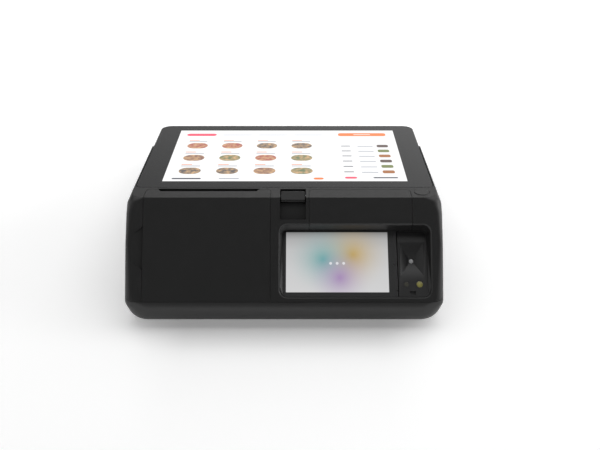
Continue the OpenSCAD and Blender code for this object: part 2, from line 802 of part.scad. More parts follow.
module scan_camera() {
    back = -funnel_deep - 3;
    color("#23603d") screen_frame() {
        block([funnel_x - 6, funnel_q - 6, back - camera_h], [funnel_x + 6, funnel_q + 6, back]);
        block([scan_x0 + 1, 3, back - camera_h - board_h], [scan_x0 + scan_w - 1, floor_q1 - 10, back - camera_h]);
    }
}

// A light's lens with a low dome
module light_lens(x, r) {
    screen_frame() translate([x, light_q, -screen_deep]) rotate_extrude()
        polygon(concat([[0, 0], [r, 0]], [for (a = [0 : 15 : 90]) [r*cos(a), screen_deep - 0.4 + 0.6*sin(a)]]));
}

module scan_light() { color("#8b8b88") light_lens(scan_light_x, scan_light_r); }

module aim_light() { color("#c9b75a") light_lens(aim_light_x, aim_light_r); }

module power_button() {
    color("#202123") top_frame() translate([button_x, button_t, 0]) {
        translate([0, 0, -wall - move_gap]) cylinder(r = button_r, h = wall + move_gap + button_proud);
        translate([0, 0, -wall - move_gap - flange_h]) cylinder(r = flange_r, h = flange_h);
        translate([0, 0, -wall - move_gap - flange_h - stem_l]) cylinder(r = stem_r, h = stem_l + flange_h);
    }
}

module power_switch() {
    stem_end = -wall - move_gap - flange_h - stem_l;
    color("#8d9096") top_frame() translate([button_x, button_t, switch_n]) {
        block([-3.1, -3.1, 0], [3.1, 3.1, 2]);
        cylinder(r = 1.7, h = stem_end - button_travel - 0.1 - switch_n);
    }
}

module switch_board() {
    color("#2f6b46") top_frame() block([button_x - 8, 1.2, switch_n - board_h], [button_x + 8, slab_t0 - 0.8, switch_n]);
}

// The lever's thumb piece: a round head on the shaft and a slim tail at the crease
module release_lever() {
    color("#26272a") top_frame() difference() {
        hull() {
            translate([0, lever_t, lever_n]) soft_rod(lever_x0, lever_x1, lever_head_r, lever_round);
            translate([0, lever_tail_t, lever_tail_n]) soft_rod(lever_x0, lever_x1, lever_tail_r, lever_round);
        }
        translate([0, lever_t, lever_n]) rod(lever_x0 - 1, lever_x1 + 1, lever_shaft_r);
    }
}

module lever_shaft() {
    color("#9a9da1") top_frame() translate([0, lever_t, lever_n])
        rod(cam_x1 - cam_w, lever_x1 + move_gap + pocket_wall, lever_shaft_r);
}

module latch_cam() {
    color("#d8d4c6") top_frame() translate([0, lever_t, lever_n]) along_x(cam_x1 - cam_w, cam_x1) difference() {
        union() {
            circle(lever_shaft_r + cam_hub);
            strut([0, -0.6], [-cam_reach, -1.4], 2);
        }
        circle(lever_shaft_r);
    }
}

module lever_spring() {
    room = lever_x0 - move_gap - pocket_wall - cam_x1;
    color("#b9bcc0") top_frame() translate([cam_x1 + move_gap, lever_t, lever_n]) rotate([0, 90, 0])
        coil(lever_shaft_r + wire_r + move_gap, wire_r, room - move_gap, 4);
}

module printer_cover() {
    color("#232426") difference() {
        intersection() {
            case_shell();
            lid_space(cover_x0, cover_x1, cover_t, 0);
            above_seam(seam/2);
        }
        paper_slot();
    }
}

module hinge_arms() {
    color("#2b2c2f") intersection() {
        for (x = arm_places()) translate([0, hinge_y, hinge_z]) along_x(x, x + arm_w) difference() {
            union() {
                circle(knuckle_r);
                for (i = [1 : len(arm_path) - 1]) strut(arm_path[i - 1], arm_path[i], arm_h);
            }
            circle(hinge_pin_r + run_fit);
        }
        rear_frame() block([-big, -big, -big], [big, big, -wall]);
    }
}

module hinge_pins() {
    reach = hinge_cheek + move_gap;
    color("#a9acb0") translate([0, hinge_y, hinge_z])
        for (x = arm_places()) rod(x - reach, x + arm_w + reach, hinge_pin_r);
}

module platen_holder() {
    color("#3a3b3f") top_frame() difference() {
        union() {
            for (x = holder_places()) along_x(x, x + holder_w) polygon([
                [platen_t - 5.5, -wall], [platen_t + 3.5, -wall], [platen_t + 4.6, platen_n],
                [platen_t + 3, platen_n - 4.8], [platen_t - 3, platen_n - 4.8], [platen_t - 5.5, platen_n]]);
            block([plate_x0 - holder_w, platen_t - 5.5, -wall - 2], [plate_x1 + holder_w - 1, platen_t - 2.5, -wall]);
        }
        translate([0, platen_t, platen_n]) rod(-big, big, bush_r + run_fit);
    }
}

// Where the platen's two holder cheeks start along X
function holder_places() = [plate_x0 - holder_w, plate_x1 - 1];

module platen_bushes() {
    color("#b98d4a") top_frame() translate([0, platen_t, platen_n]) for (x = holder_places()) difference() {
        rod(x, x + holder_w, bush_r);
        rod(x - 1, x + holder_w + 1, platen_shaft_r + run_fit);
    }
}

module platen_shaft() {
    color("#b5b8bc") top_frame() translate([0, platen_t, platen_n])
        rod(holder_places()[0] - 0.4, gear_x1 + 0.3, platen_shaft_r);
}

module platen_roller() {
    color("#2c2c2c") top_frame() translate([0, platen_t, platen_n]) difference() {
        rod(roll_x0 - 0.6, roll_x1 + 0.6, platen_r);
        rod(roll_x0 - 1, roll_x1 + 1, platen_shaft_r);
    }
}

module platen_gear() {
    color("#e3dfd2") top_frame() translate([0, platen_t, platen_n])
        gear(platen_teeth, gear_x0, gear_x1, platen_shaft_r, -idler_dir);
}

module idler_gear() {
    color("#e3dfd2") top_frame() translate([0, idler_t, idler_n])
        gear(idler_teeth, gear_x0, gear_x1, idler_pin_r + run_fit, 180 - idler_dir + 180/idler_teeth);
}

module idler_pin() {
    color("#a9acb0") top_frame() translate([0, idler_t, idler_n]) rod(plate_x1 - plate, gear_x1 + 0.4, idler_pin_r);
}

// Turn of the idler's teeth as the pinion meets them
idler_phase = 180 - idler_dir + 180/idler_teeth;
pinion_phase = 180 - pinion_dir + (idler_phase + pinion_dir)*idler_teeth/pinion_teeth + 180/pinion_teeth;

module motor_pinion() {
    color("#d9c27a") top_frame() translate([0, pinion_t, pinion_n]) {
        gear(pinion_teeth, gear_x0, gear_x1, motor_shaft_r - 0.2, pinion_phase);
        rod(plate_x1 - plate - motor_l/2, gear_x1 + 0.4, motor_shaft_r);
    }
}

module stepper_motor() {
    color("#8f9297") top_frame() translate([0, pinion_t, pinion_n]) difference() {
        rod(plate_x1 - plate - motor_l, plate_x1 - plate, motor_r);
        rod(plate_x1 - plate - motor_l/2 - 1, plate_x1, motor_shaft_r + run_fit);
    }
}

// Two side plates on legs, joined by the spring seat and the motor's flange
module printer_chassis() {
    leg_y = [pinion_t*cos(display_tilt) - 18 + crease_y, pinion_t*cos(display_tilt) + crease_y];
    color("#b2b5b9") difference() {
        union() {
            for (x = [plate_x0, plate_x1 - plate]) {
                top_frame() along_x(x, x + plate) polygon([[head_t() + head_h + sink_h - 2.2, -wall - tear_h - seat_fit],
                    [slab_t0 - 0.6, -wall - tear_h - seat_fit], [slab_t0 - 0.6, -slab_h - 1], [33, -slab_h - 1],
                    [33, -40], [13, -40], [13, -17.5], [head_t() + head_h + sink_h - 2.2, -17.5]]);
                block([x, leg_y[0], floor_z], [x + plate, leg_y[1], crease_z - leg_drop]);
            }
            top_frame() block([plate_x0, spring_seat_t, -slab_h - seat_drop], [plate_x1, spring_seat_t + plate, -slab_h - 1]);
            block([plate_x0, leg_y[0] + 4, floor_z], [plate_x1, leg_y[0] + 4 + plate, floor_z + 6]);
        }
        top_frame() translate([0, pinion_t, pinion_n]) rod(plate_x1 - 2*plate, plate_x1 + 1, motor_shaft_r + 0.4);
        top_frame() translate([0, idler_t, idler_n]) rod(plate_x1 - 2*plate, plate_x1 + 1, idler_pin_r);
    }
}

// The heating face of the print head just clears the platen
function head_t() = platen_t + platen_r + seat_fit;

module print_head() {
    color("#d7d2c4") top_frame() block([roll_x0, head_t(), head_n1], [roll_x1, head_t() + head_h, head_n0]);
}

module head_heat_sink() {
    t = head_t() + head_h;
    color("#aeb1b5") top_frame() block([plate_x0 + plate, t, head_n1 - 1], [plate_x1 - plate, t + sink_h, head_n0 + 0.6]);
}

module head_springs() {
    t = head_t() + head_h + sink_h;
    color("#b9bcc0") top_frame() for (x = [0.3, 0.5, 0.7]) translate([roll_x0 + x*roll_w, t, head_spring_n])
        rotate([-90, 0, 0]) coil(head_spring_r, wire_r, spring_seat_t - t, 4);
}

module tear_bar() {
    pitch = 2;
    teeth = floor((slot_w - 1)/pitch);
    x0 = slot_x - teeth*pitch/2;
    color("#c4c7cb") top_frame() translate([0, 0, -wall - tear_h]) linear_extrude(tear_h) polygon(concat(
        [[x0, slot_t1 + 1.4], [x0, slot_t1]],
        [for (i = [0 : teeth - 1]) each [[x0 + (i + 0.5)*pitch, slot_t1 - 0.9], [x0 + (i + 1)*pitch, slot_t1]]],
        [[x0 + teeth*pitch, slot_t1 + 1.4]]));
}

module paper_bucket() {
    r = roll_r + move_gap;
    color("#33343a") difference() {
        union() {
            translate([0, bucket_y, bucket_z]) rod(bucket_x0, bucket_x1, r + bucket_wall);
            block([bucket_x0, bucket_y - 8, floor_z], [bucket_x1, bucket_y + 8, bucket_z - roll_r/2]);
        }
        translate([0, bucket_y, bucket_z]) rod(bucket_x0 + bucket_wall, bucket_x1 - bucket_wall, r);
        translate([0, bucket_y, bucket_z]) rotate([rear_slope, 0, 0]) block([-big, -big, 3], [big, big, big]);
    }
}

module main_board() {
    color("#23603d") difference() {
        block([board_x0, board_y0, board_z], [board_x1, board_y1, board_z + board_pcb]);
        board_screw_places() cylinder(r = small_screw_r + seat_fit, h = big);
    }
}

module heat_sink() {
    fins = 7;
    size = 34;
    step = (size - 2)/(fins - 1);
    color("#9ea1a6") translate([58, -6, socket_z]) {
        cube([size, size, 3]);
        for (i = [0 : fins - 1]) translate([i*step, 0, 0]) cube([2, size, 11]);
    }
}

// A socket block on the board with a cavity open to the side
module socket(s, l, cavity) {
    translate([socket_x1 - l, s[0] - s[1]/2, socket_z]) difference() {
        cube([l, s[1], s[2]]);
        translate([l - cavity[0], (s[1] - cavity[1])/2, (s[2] - cavity[2])/2]) cube(cavity);
    }
}

module lan_port() { color("#b4b7bb") socket(lan_socket, 20, [13, 12, 8]); }

module drawer_port() { color("#2b2c2f") socket(drawer_socket, 18, [12, 9.8, 7]); }

module usb_ports() {
    color("#b4b7bb") for (s = usb_sockets) {
        socket(s, 15, [12, 12.6, 5.2]);
        block([socket_x1 - 12.5, s[0] - 5.6, socket_z + 3.6], [socket_x1 - 1.5, s[0] + 5.6, socket_z + 5.2]);
    }
}

module power_jack() {
    color("#2b2c2f") difference() {
        socket(jack_socket, 14, [sliver, sliver, sliver]);
        translate([socket_x1 - 10, jack_socket[0], socket_z + jack_socket[2]/2]) difference() {
            rod(0, 11, 3.1);
            rod(-1, 9, 1);
        }
    }
}

module speaker() {
    x = -case_w/2 + wall + seat_fit;
    color("#2b2c2f") difference() {
        block([x, speaker_y - 17, foot_h + base_edge_r], [x + 11, speaker_y + 17, speaker_z + 7]);
        translate([0, speaker_y, speaker_z]) rod(x - 1, x + 4, 6.4);
    }
}

module rubber_feet() {
    color("#151515") for (side = [-1, 1]) for (y = feet_y) translate([side*feet_x, y, 0]) cylinder(r = foot_r, h = foot_h);
}

module case_screws() {
    head_z = foot_h + case_head_h;
    color("#8d9096") case_screw_places() {
        translate([0, 0, foot_h + 0.6]) cylinder(r = case_head_r, h = head_z - foot_h - 0.6);
        translate([0, 0, foot_h + 0.6]) cylinder(r = case_screw_r, h = split_z + case_boss_h - 3 - foot_h - 0.6);
    }
}

module board_screws() {
    color("#8d9096") board_screw_places() {
        translate([0, 0, board_z + board_pcb]) cylinder(r = small_head_r, h = small_head_h);
        translate([0, 0, floor_z + 0.5]) cylinder(r = small_screw_r, h = board_z + board_pcb - floor_z);
    }
}

module display_screws() {
    color("#8d9096") display_screw_places() {
        translate([0, 0, -rail_h - small_head_h]) cylinder(r = small_head_r, h = small_head_h);
        translate([0, 0, -rail_h - small_head_h/2]) cylinder(r = small_screw_r, h = rail_h + small_head_h/2 + frame_floor - 0.8);
    }
}

base_tray();
rear_housing();
display_frame();
main_glass();
main_lcd();
service_panel();
tap_antenna();
customer_glass();
customer_lcd();
scanner_bezel();
scanner_lens();
scan_camera();
scan_light();
aim_light();
power_button();
power_switch();
switch_board();
release_lever();
lever_shaft();
latch_cam();
lever_spring();
printer_cover();
hinge_arms();
hinge_pins();
platen_holder();
platen_bushes();
platen_shaft();
platen_roller();
platen_gear();
idler_gear();
idler_pin();
motor_pinion();
stepper_motor();
printer_chassis();
print_head();
head_heat_sink();
head_springs();
tear_bar();
paper_bucket();
main_board();
heat_sink();
power_jack();
usb_ports();
lan_port();
drawer_port();
speaker();
rubber_feet();
case_screws();
board_screws();
display_screws();
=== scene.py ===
"""Looks of a desktop till terminal: a tilted touch display, a receipt printer and a customer screen.

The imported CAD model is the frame. Each sub-assembly is a class that dresses its own CAD nodes with
softened copies and procedural finishes, and adds the small repeated pieces that the solids leave out.
"""

from __future__ import annotations

import json
import logging
import math
from dataclasses import dataclass, replace
from enum import Enum, auto

import bmesh
import bpy
from bpy.types import Material, Node, NodeSocket, NodeTree, Object
from bpy.types import bpy_prop_collection as Sockets
from mathutils import Matrix, Vector

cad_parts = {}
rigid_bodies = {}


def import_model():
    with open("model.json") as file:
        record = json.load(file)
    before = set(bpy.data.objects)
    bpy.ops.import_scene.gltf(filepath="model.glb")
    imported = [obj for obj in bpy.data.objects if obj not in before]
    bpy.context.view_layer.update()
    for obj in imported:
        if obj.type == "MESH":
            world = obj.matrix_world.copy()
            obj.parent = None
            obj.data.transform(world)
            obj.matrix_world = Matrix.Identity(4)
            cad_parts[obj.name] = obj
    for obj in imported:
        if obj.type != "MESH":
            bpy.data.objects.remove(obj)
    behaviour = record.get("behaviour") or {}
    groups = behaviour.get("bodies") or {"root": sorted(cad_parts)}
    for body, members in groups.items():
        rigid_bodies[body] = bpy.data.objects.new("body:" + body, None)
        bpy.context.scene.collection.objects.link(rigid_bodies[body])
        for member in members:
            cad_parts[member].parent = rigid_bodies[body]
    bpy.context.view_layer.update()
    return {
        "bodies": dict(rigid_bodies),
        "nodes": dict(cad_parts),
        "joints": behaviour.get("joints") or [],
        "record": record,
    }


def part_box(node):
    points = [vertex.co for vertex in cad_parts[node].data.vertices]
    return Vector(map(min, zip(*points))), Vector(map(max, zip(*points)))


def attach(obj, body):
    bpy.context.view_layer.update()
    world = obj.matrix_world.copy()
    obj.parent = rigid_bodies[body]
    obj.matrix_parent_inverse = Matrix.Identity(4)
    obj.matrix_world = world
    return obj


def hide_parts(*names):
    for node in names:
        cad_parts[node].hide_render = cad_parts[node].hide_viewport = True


LOG = logging.getLogger("terminal")
MM = 0.001

MERGE_M = 2e-6  # corners of a CAD node's triangles this close become one
FLAT_DEG = 0.4  # faces that meet at less than this become one
SHARP_DEG = 26.0  # edges above this angle stay edges
BEVEL_EXTRA_DEG = 4.0  # an edge is softened only if it is this much sharper
BEVEL_STEPS = 2
NORMAL_WEIGHT = 60
STUD_FACETS = 40
STUD_SPINE_M = 1e-6  # radius of the ring that a stud's profile is swept round
STUD_MERGE_M = 3e-6  # closes a swept stud's poles
SEAM_MERGE_M = 4e-6  # closes the seams of a turned piece
INDEX_SLACK = 0.1  # how near an index has to be to count as equal
BUMP_STRENGTH = 0.55
GLASS_IOR = 1.5
SCREEN_EDGE_MM = 0.25  # soft rim of a shape drawn on a screen

Triple = tuple[float, float, float]
Colour = Triple
Pairs = tuple[tuple[float, float], ...]
Spot = tuple[NodeSocket, NodeSocket]  # across and along a screen


class Body(Enum):
    """The moving groups that pieces ride on."""

    CASE = "case"
    COVER = "cover"
    PLATEN = "platen"
    IDLER = "idler"
    PINION = "pinion"
    LEVER = "lever"
    BUTTON = "button"


class Socket(Enum):
    """The kinds of socket that a node group has."""

    VALUE = "NodeSocketFloat"
    VECTOR = "NodeSocketVector"
    GEOMETRY = "NodeSocketGeometry"
    MATERIAL = "NodeSocketMaterial"


class Op(Enum):
    """The operations of a Math node, under Blender's own names."""

    ABSOLUTE = auto()
    ADD = auto()
    COMPARE = auto()
    DIVIDE = auto()
    FLOOR = auto()
    FRACT = auto()
    MAXIMUM = auto()
    MINIMUM = auto()
    MULTIPLY = auto()
    MULTIPLY_ADD = auto()
    SMOOTH_MIN = auto()
    SQRT = auto()
    SUBTRACT = auto()


class Ink(Enum):
    """The colours of the main screen's design."""

    BLACK = (0.0, 0.0, 0.0)
    WHITE = (1.0, 1.0, 1.0)
    HEADER = (0.97, 0.97, 0.98)
    SHEET = (0.955, 0.96, 0.97)
    PALE = (0.86, 0.87, 0.90)
    GREY = (0.40, 0.42, 0.47)
    DARK = (0.045, 0.05, 0.075)
    WARM = (1.0, 0.24, 0.06)
    CREAM = (1.0, 0.9, 0.85)
    ROSE = (0.95, 0.10, 0.17)
    SAND = (0.66, 0.38, 0.15)
    BROWN = (0.42, 0.16, 0.05)
    OLIVE = (0.2, 0.24, 0.08)
    UMBER = (0.13, 0.09, 0.08)


@dataclass(frozen=True)
class Finish:
    """How a moulded, cast or cut surface looks."""

    name: str
    colour: Colour
    roughness: float
    metallic: float = 0.0
    specular: float = 0.5
    grain_scale: float = 1800.0
    grain_mm: float = 0.02
    patch_scale: float = 22.0
    patch_share: float = 0.18
    rough_share: float = 0.10
    stretch: Triple = (1.0, 1.0, 1.0)


@dataclass(frozen=True)
class Glass:
    """How a screen's cover glass looks where it is not lit."""

    name: str
    dark: Colour
    pale: Colour
    roughness: float
    rough_share: float
    grain_scale: float
    patch_scale: float


SATIN_BLACK = Finish("satin_black_case", (0.0062, 0.0062, 0.0063), 0.45, grain_scale=2300, grain_mm=0.016)
SATIN_DARK = Finish("dark_inner_plastic", (0.030, 0.030, 0.032), 0.55, grain_scale=1500)
KEY_BLACK = Finish("key_black", (0.0065, 0.0065, 0.0066), 0.42, grain_scale=2300, grain_mm=0.012)
LEVER_BLACK = Finish("lever_black", (0.0062, 0.0062, 0.0063), 0.46, specular=0.24, grain_scale=2300,
                     grain_mm=0.012)
SCAN_BLACK = Finish("scanner_black", (0.011, 0.011, 0.0113), 0.42, grain_scale=2300, grain_mm=0.012)
RUBBER = Finish("foot_rubber", (0.02, 0.02, 0.02), 0.82, grain_scale=900, grain_mm=0.05)
ROLLER_RUBBER = Finish("roller_rubber", (0.035, 0.035, 0.036), 0.68, grain_scale=1300, grain_mm=0.03)
STEEL = Finish("plain_steel", (0.56, 0.57, 0.59), 0.30, 1.0, grain_scale=700, stretch=(0.15, 1.0, 1.0))
SHEET_STEEL = Finish("rolled_sheet_steel", (0.50, 0.51, 0.52), 0.38, 1.0, grain_scale=500,
                     stretch=(1.0, 0.1, 1.0))
ALUMINIUM = Finish("milled_aluminium", (0.62, 0.63, 0.65), 0.36, 1.0, grain_scale=600,
                   stretch=(1.0, 0.12, 1.0))
BRASS = Finish("turned_brass", (0.66, 0.48, 0.20), 0.28, 1.0, grain_scale=800)
RESIN = Finish("natural_resin", (0.70, 0.66, 0.56), 0.48, grain_scale=1100)
CERAMIC = Finish("head_ceramic", (0.72, 0.69, 0.60), 0.32, grain_scale=2600, grain_mm=0.008)
BOARD = Finish("solder_mask", (0.020, 0.105, 0.048), 0.34, grain_scale=260, grain_mm=0.02, patch_share=0.35)
PANEL_BACK = Finish("panel_white", (0.70, 0.71, 0.73), 0.40, grain_scale=900)
GREY_LIGHT = Finish("grey_light_lens", (0.046, 0.045, 0.036), 0.55, specular=0.2, grain_scale=2500,
                    grain_mm=0.01)
YELLOW_LIGHT = Finish("yellow_light_lens", (0.20, 0.185, 0.055), 0.24, grain_scale=1500, grain_mm=0.02,
                      patch_scale=420, patch_share=0.75)
CAMERA_LENS = Finish("camera_lens", (0.32, 0.325, 0.33), 0.30, grain_scale=500, grain_mm=0.004)
MAIN_GLASS = Glass("display_cover_glass", (0.012, 0.012, 0.0125), (0.018, 0.018, 0.01875), roughness=0.11,
                   rough_share=0.02, grain_scale=900.0, patch_scale=9.0)
CUSTOMER_GLASS = Glass("customer_screen_glass", (0.014, 0.014, 0.0145), (0.021, 0.021, 0.0215),
                       roughness=0.34, rough_share=0.08, grain_scale=1500.0, patch_scale=20.0)


@dataclass(frozen=True)
class Box:
    """A box with rounded corners on a screen: its middle, size and corner radius in millimetres."""

    x: float
    y: float
    width: float
    height: float
    radius: float

    def moved(self, x: float, y: float) -> Box:
        """The same box, moved across and along the screen."""
        return replace(self, x=self.x + x, y=self.y + y)


@dataclass(frozen=True)
class Glow:
    """A round tinted glow on a screen, in millimetres, and how strongly it covers."""

    x: float
    y: float
    radius: float
    tint: Colour
    share: float


@dataclass(frozen=True)
class Softbox:
    """A square lamp: its place and aim in metres, its side and its power in watts."""

    name: str
    at: Triple
    towards: Triple
    size: float
    power: float


@dataclass(frozen=True)
class CaseLines:
    """The case's side profile, in millimetres and degrees, as the source of the part gives it."""

    tilt: float = 15.0
    slope: float = 42.5
    rear_len: float = 88.3
    top_len: float = 187.0
    lip_r: float = 14.0
    foot_h: float = 2.0
    recess_strip: float = 4.0
    recess_foot: float = 0.6
    lean: float = 11.0

    @property
    def crease(self) -> Vector:
        """The edge between the top plane and the customer face."""
        slope, tilt = math.radians(self.slope), math.radians(self.tilt)
        lip_y = (self.lip_r + self.lip_r * math.sin(slope) - self.rear_len * math.cos(slope)
                 - self.top_len * math.cos(tilt)) / 2
        lip_z = self.foot_h + self.lip_r
        return Vector((0.0, lip_y - self.lip_r * math.sin(slope) + self.rear_len * math.cos(slope),
                       lip_z + self.lip_r * math.cos(slope) + self.rear_len * math.sin(slope)))

    def top_place(self) -> tuple[Vector, Vector]:
        """The location in millimetres and the turn of a Mapping node onto the top plane."""
        angle = math.radians(self.tilt)
        return -(Matrix.Rotation(angle, 3, "X") @ self.crease), Vector((angle, 0.0, 0.0))

    def screen_place(self) -> tuple[Vector, Vector]:
        """The location in millimetres and the turn of a Mapping node onto the customer screen."""
        angle = math.radians(self.lean - self.slope)
        foot = Vector((0.0, self.rear_len - self.recess_strip, self.recess_foot))
        shift = Matrix.Rotation(math.radians(self.lean), 3, "X") @ foot
        return shift - Matrix.Rotation(angle, 3, "X") @ self.crease, Vector((angle, 0.0, 0.0))


def grey(level: float) -> Colour:
    """A neutral colour."""
    return (level, level, level)


class Sketch:
    """A short way to lay shader or geometry nodes in a tree."""

    def __init__(self, tree: NodeTree) -> None:
        """Keeps the tree that nodes are added to."""
        self.tree = tree

    def node(self, kind: str, inputs: dict[str, object] | None = None, **settings: object) -> Node:
        """Adds a node.

        Args:
            kind: Blender's name of the node type.
            inputs: Sockets or plain values for its inputs, by name.
            settings: Attributes set on the node before its inputs are fed.

        Returns:
            The new node.
        """
        made = self.tree.nodes.new(kind)
        for name, value in settings.items():
            setattr(made, name, value)
        self.fill(made, inputs or {})
        return made

    def fill(self, node: Node, inputs: dict[str, object]) -> None:
        """Feeds a node's inputs by name."""
        for name, value in inputs.items():
            self.feed(node.inputs[name], value)

    def feed(self, socket: NodeSocket, value: object) -> None:
        """Links a socket to another one, or sets its plain value; a colour gets full alpha."""
        if isinstance(value, NodeSocket):
            self.tree.links.new(value, socket)
        elif socket.type == "RGBA":
            socket.default_value = (*value, 1.0)
        else:
            socket.default_value = value

    def math(self, operation: Op, *values: object, clamp: bool = False) -> NodeSocket:
        """Adds one Math node.

        Args:
            operation: The node's operation.
            values: Numbers or sockets, in order.
            clamp: Whether the result is kept between 0 and 1.

        Returns:
            The result's socket.
        """
        made = self.node("ShaderNodeMath", operation=operation.name, use_clamp=clamp)
        for place, value in enumerate(values):
            self.feed(made.inputs[place], value)
        return made.outputs[0]

    def climb(self, value: object, start: float, span: float) -> NodeSocket:
        """How far a value is along a span, from 0 to 1; a negative span runs downwards."""
        return self.math(Op.DIVIDE, self.math(Op.SUBTRACT, value, start), span, clamp=True)

    def length(self, across: object, along: object) -> NodeSocket:
        """The length of a flat vector with two sides."""
        squares = [self.math(Op.MULTIPLY, side, side) for side in (across, along)]
        return self.math(Op.SQRT, self.math(Op.ADD, *squares))

    def mix(self, share: object, low: object, high: object) -> NodeSocket:
        """Mixes two colours by a share and returns the result's socket."""
        made = self.node("ShaderNodeMix", {"Factor": share}, data_type="RGBA")
        for name, value in (("A", low), ("B", high)):
            self.feed(next(s for s in made.inputs if s.name == name and s.type == "RGBA"), value)
        return next(s for s in made.outputs if s.type == "RGBA")

    def ramp(self, value: object, stops: tuple[tuple[float, Colour], ...],
             stepped: bool = False) -> NodeSocket:
        """Adds a colour ramp.

        Args:
            value: What the ramp reads.
            stops: Positions and colours, in order.
            stepped: Whether a colour holds until the next stop.

        Returns:
            The colour's socket.
        """
        made = self.node("ShaderNodeValToRGB", {"Fac": value})
        if stepped:
            made.color_ramp.interpolation = "CONSTANT"
        elements = made.color_ramp.elements
        while len(elements) < len(stops):
            elements.new(0.5)
        for element, (spot, tint) in zip(elements, stops):
            element.position = spot
            element.color = (*tint, 1.0)
        return made.outputs[0]

    def noise(self, place: object, scale: object, detail: float, **settings: object) -> NodeSocket:
        """Adds a noise texture and returns its value's socket."""
        inputs = {"Vector": place, "Scale": scale, "Detail": detail}
        return self.node("ShaderNodeTexNoise", inputs, **settings).outputs[0]

    def vector(self, x: object, y: object, z: object = 0.0) -> NodeSocket:
        """Puts a vector together from values or sockets."""
        return self.node("ShaderNodeCombineXYZ", {"X": x, "Y": y, "Z": z}).outputs[0]

    def split(self, vector: object) -> tuple[NodeSocket, ...]:
        """Takes a vector apart into the sockets of its three values."""
        return tuple(self.node("ShaderNodeSeparateXYZ", {"Vector": vector}).outputs)

    def place(self) -> NodeSocket:
        """The object coordinates' socket."""
        return self.node("ShaderNodeTexCoord").outputs["Object"]

    def group(self, tree: NodeTree, inputs: dict[str, object]) -> Sockets:
        """Places a shader group, feeds its inputs by name and returns its outputs."""
        return self.node("ShaderNodeGroup", inputs, node_tree=tree).outputs


class ShaderGroups:
    """The effects that more than one finish uses."""

    FINE_DETAIL = 3.0
    BROAD_DETAIL = 4.0
    SCUFF_DETAIL = 6.0
    SCUFF_TIMES = 7.0  # how much finer scuffs are than patches
    FINE_SHARE = 0.6
    PIT_SHARE = 0.4
    GLOW_ROUNDING = 0.2

    def __init__(self) -> None:
        """Builds each group once."""
        self.grain = self._grain()
        self.box = self._box()
        self.glow = self._glow()

    @staticmethod
    def _start(name: str, inputs: dict[str, Socket], outputs: tuple[str, ...]
               ) -> tuple[Sketch, Sockets, Node]:
        """Makes an empty shader group.

        Args:
            name: The group's name.
            inputs: Names and socket kinds of the inputs.
            outputs: Names of the value outputs.

        Returns:
            The sketch of the group's tree, the sockets of what it is given and its output node.
        """
        tree = bpy.data.node_groups.new(name, "ShaderNodeTree")
        for label, kind in inputs.items():
            tree.interface.new_socket(label, in_out="INPUT", socket_type=kind.value)
        for label in outputs:
            tree.interface.new_socket(label, in_out="OUTPUT", socket_type=Socket.VALUE.value)
        sketch = Sketch(tree)
        return sketch, sketch.node("NodeGroupInput").outputs, sketch.node("NodeGroupOutput")

    def _grain(self) -> NodeTree:
        """Fine moulded grain, broad patches and scuffs."""
        inputs = {"Place": Socket.VECTOR, "Grain Scale": Socket.VALUE, "Patch Scale": Socket.VALUE}
        s, given, out = self._start("moulded_grain", inputs, ("Height", "Patch", "Scuff"))
        place, fine_scale, patch_scale = (given[label] for label in inputs)
        fine = s.noise(place, fine_scale, self.FINE_DETAIL)
        pits = s.node("ShaderNodeTexVoronoi", {"Vector": place, "Scale": fine_scale})
        scuff_scale = s.math(Op.MULTIPLY, patch_scale, self.SCUFF_TIMES)
        s.fill(out, {
            "Height": s.math(Op.ADD, s.math(Op.MULTIPLY, fine, self.FINE_SHARE),
                             s.math(Op.MULTIPLY, pits.outputs[0], self.PIT_SHARE)),
            "Patch": s.noise(place, patch_scale, self.BROAD_DETAIL),
            "Scuff": s.noise(place, scuff_scale, self.SCUFF_DETAIL),
        })
        return s.tree

    def _box(self) -> NodeTree:
        """A filled rectangle with rounded corners on a screen's plane."""
        names = ("X", "Y", "Centre X", "Centre Y", "Half Width", "Half Height", "Radius", "Soft")
        s, given, out = self._start("screen_box", dict.fromkeys(names, Socket.VALUE), ("Mask",))
        reach = []
        for axis, half in (("X", "Half Width"), ("Y", "Half Height")):
            away = s.math(Op.ABSOLUTE, s.math(Op.SUBTRACT, given[axis], given["Centre " + axis]))
            flat = s.math(Op.SUBTRACT, given[half], given["Radius"])
            reach.append(s.math(Op.MAXIMUM, s.math(Op.SUBTRACT, away, flat), 0.0))
        edge = s.math(Op.DIVIDE, s.math(Op.SUBTRACT, given["Radius"], s.length(*reach)), given["Soft"])
        s.fill(out, {"Mask": s.math(Op.ADD, edge, 0.5, clamp=True)})
        return s.tree

    def _glow(self) -> NodeTree:
        """A round soft spot on a screen's plane."""
        names = ("X", "Y", "Centre X", "Centre Y", "Radius")
        s, given, out = self._start("screen_glow", dict.fromkeys(names, Socket.VALUE), ("Mask",))
        sides = [s.math(Op.SUBTRACT, given[axis], given["Centre " + axis]) for axis in ("X", "Y")]
        far = s.math(Op.DIVIDE, s.length(*sides), given["Radius"])
        near = s.math(Op.SUBTRACT, 1.0, far, clamp=True)
        square = s.math(Op.MULTIPLY, near, near)
        s.fill(out, {"Mask": s.math(Op.SMOOTH_MIN, square, 1.0, self.GLOW_ROUNDING)})
        return s.tree


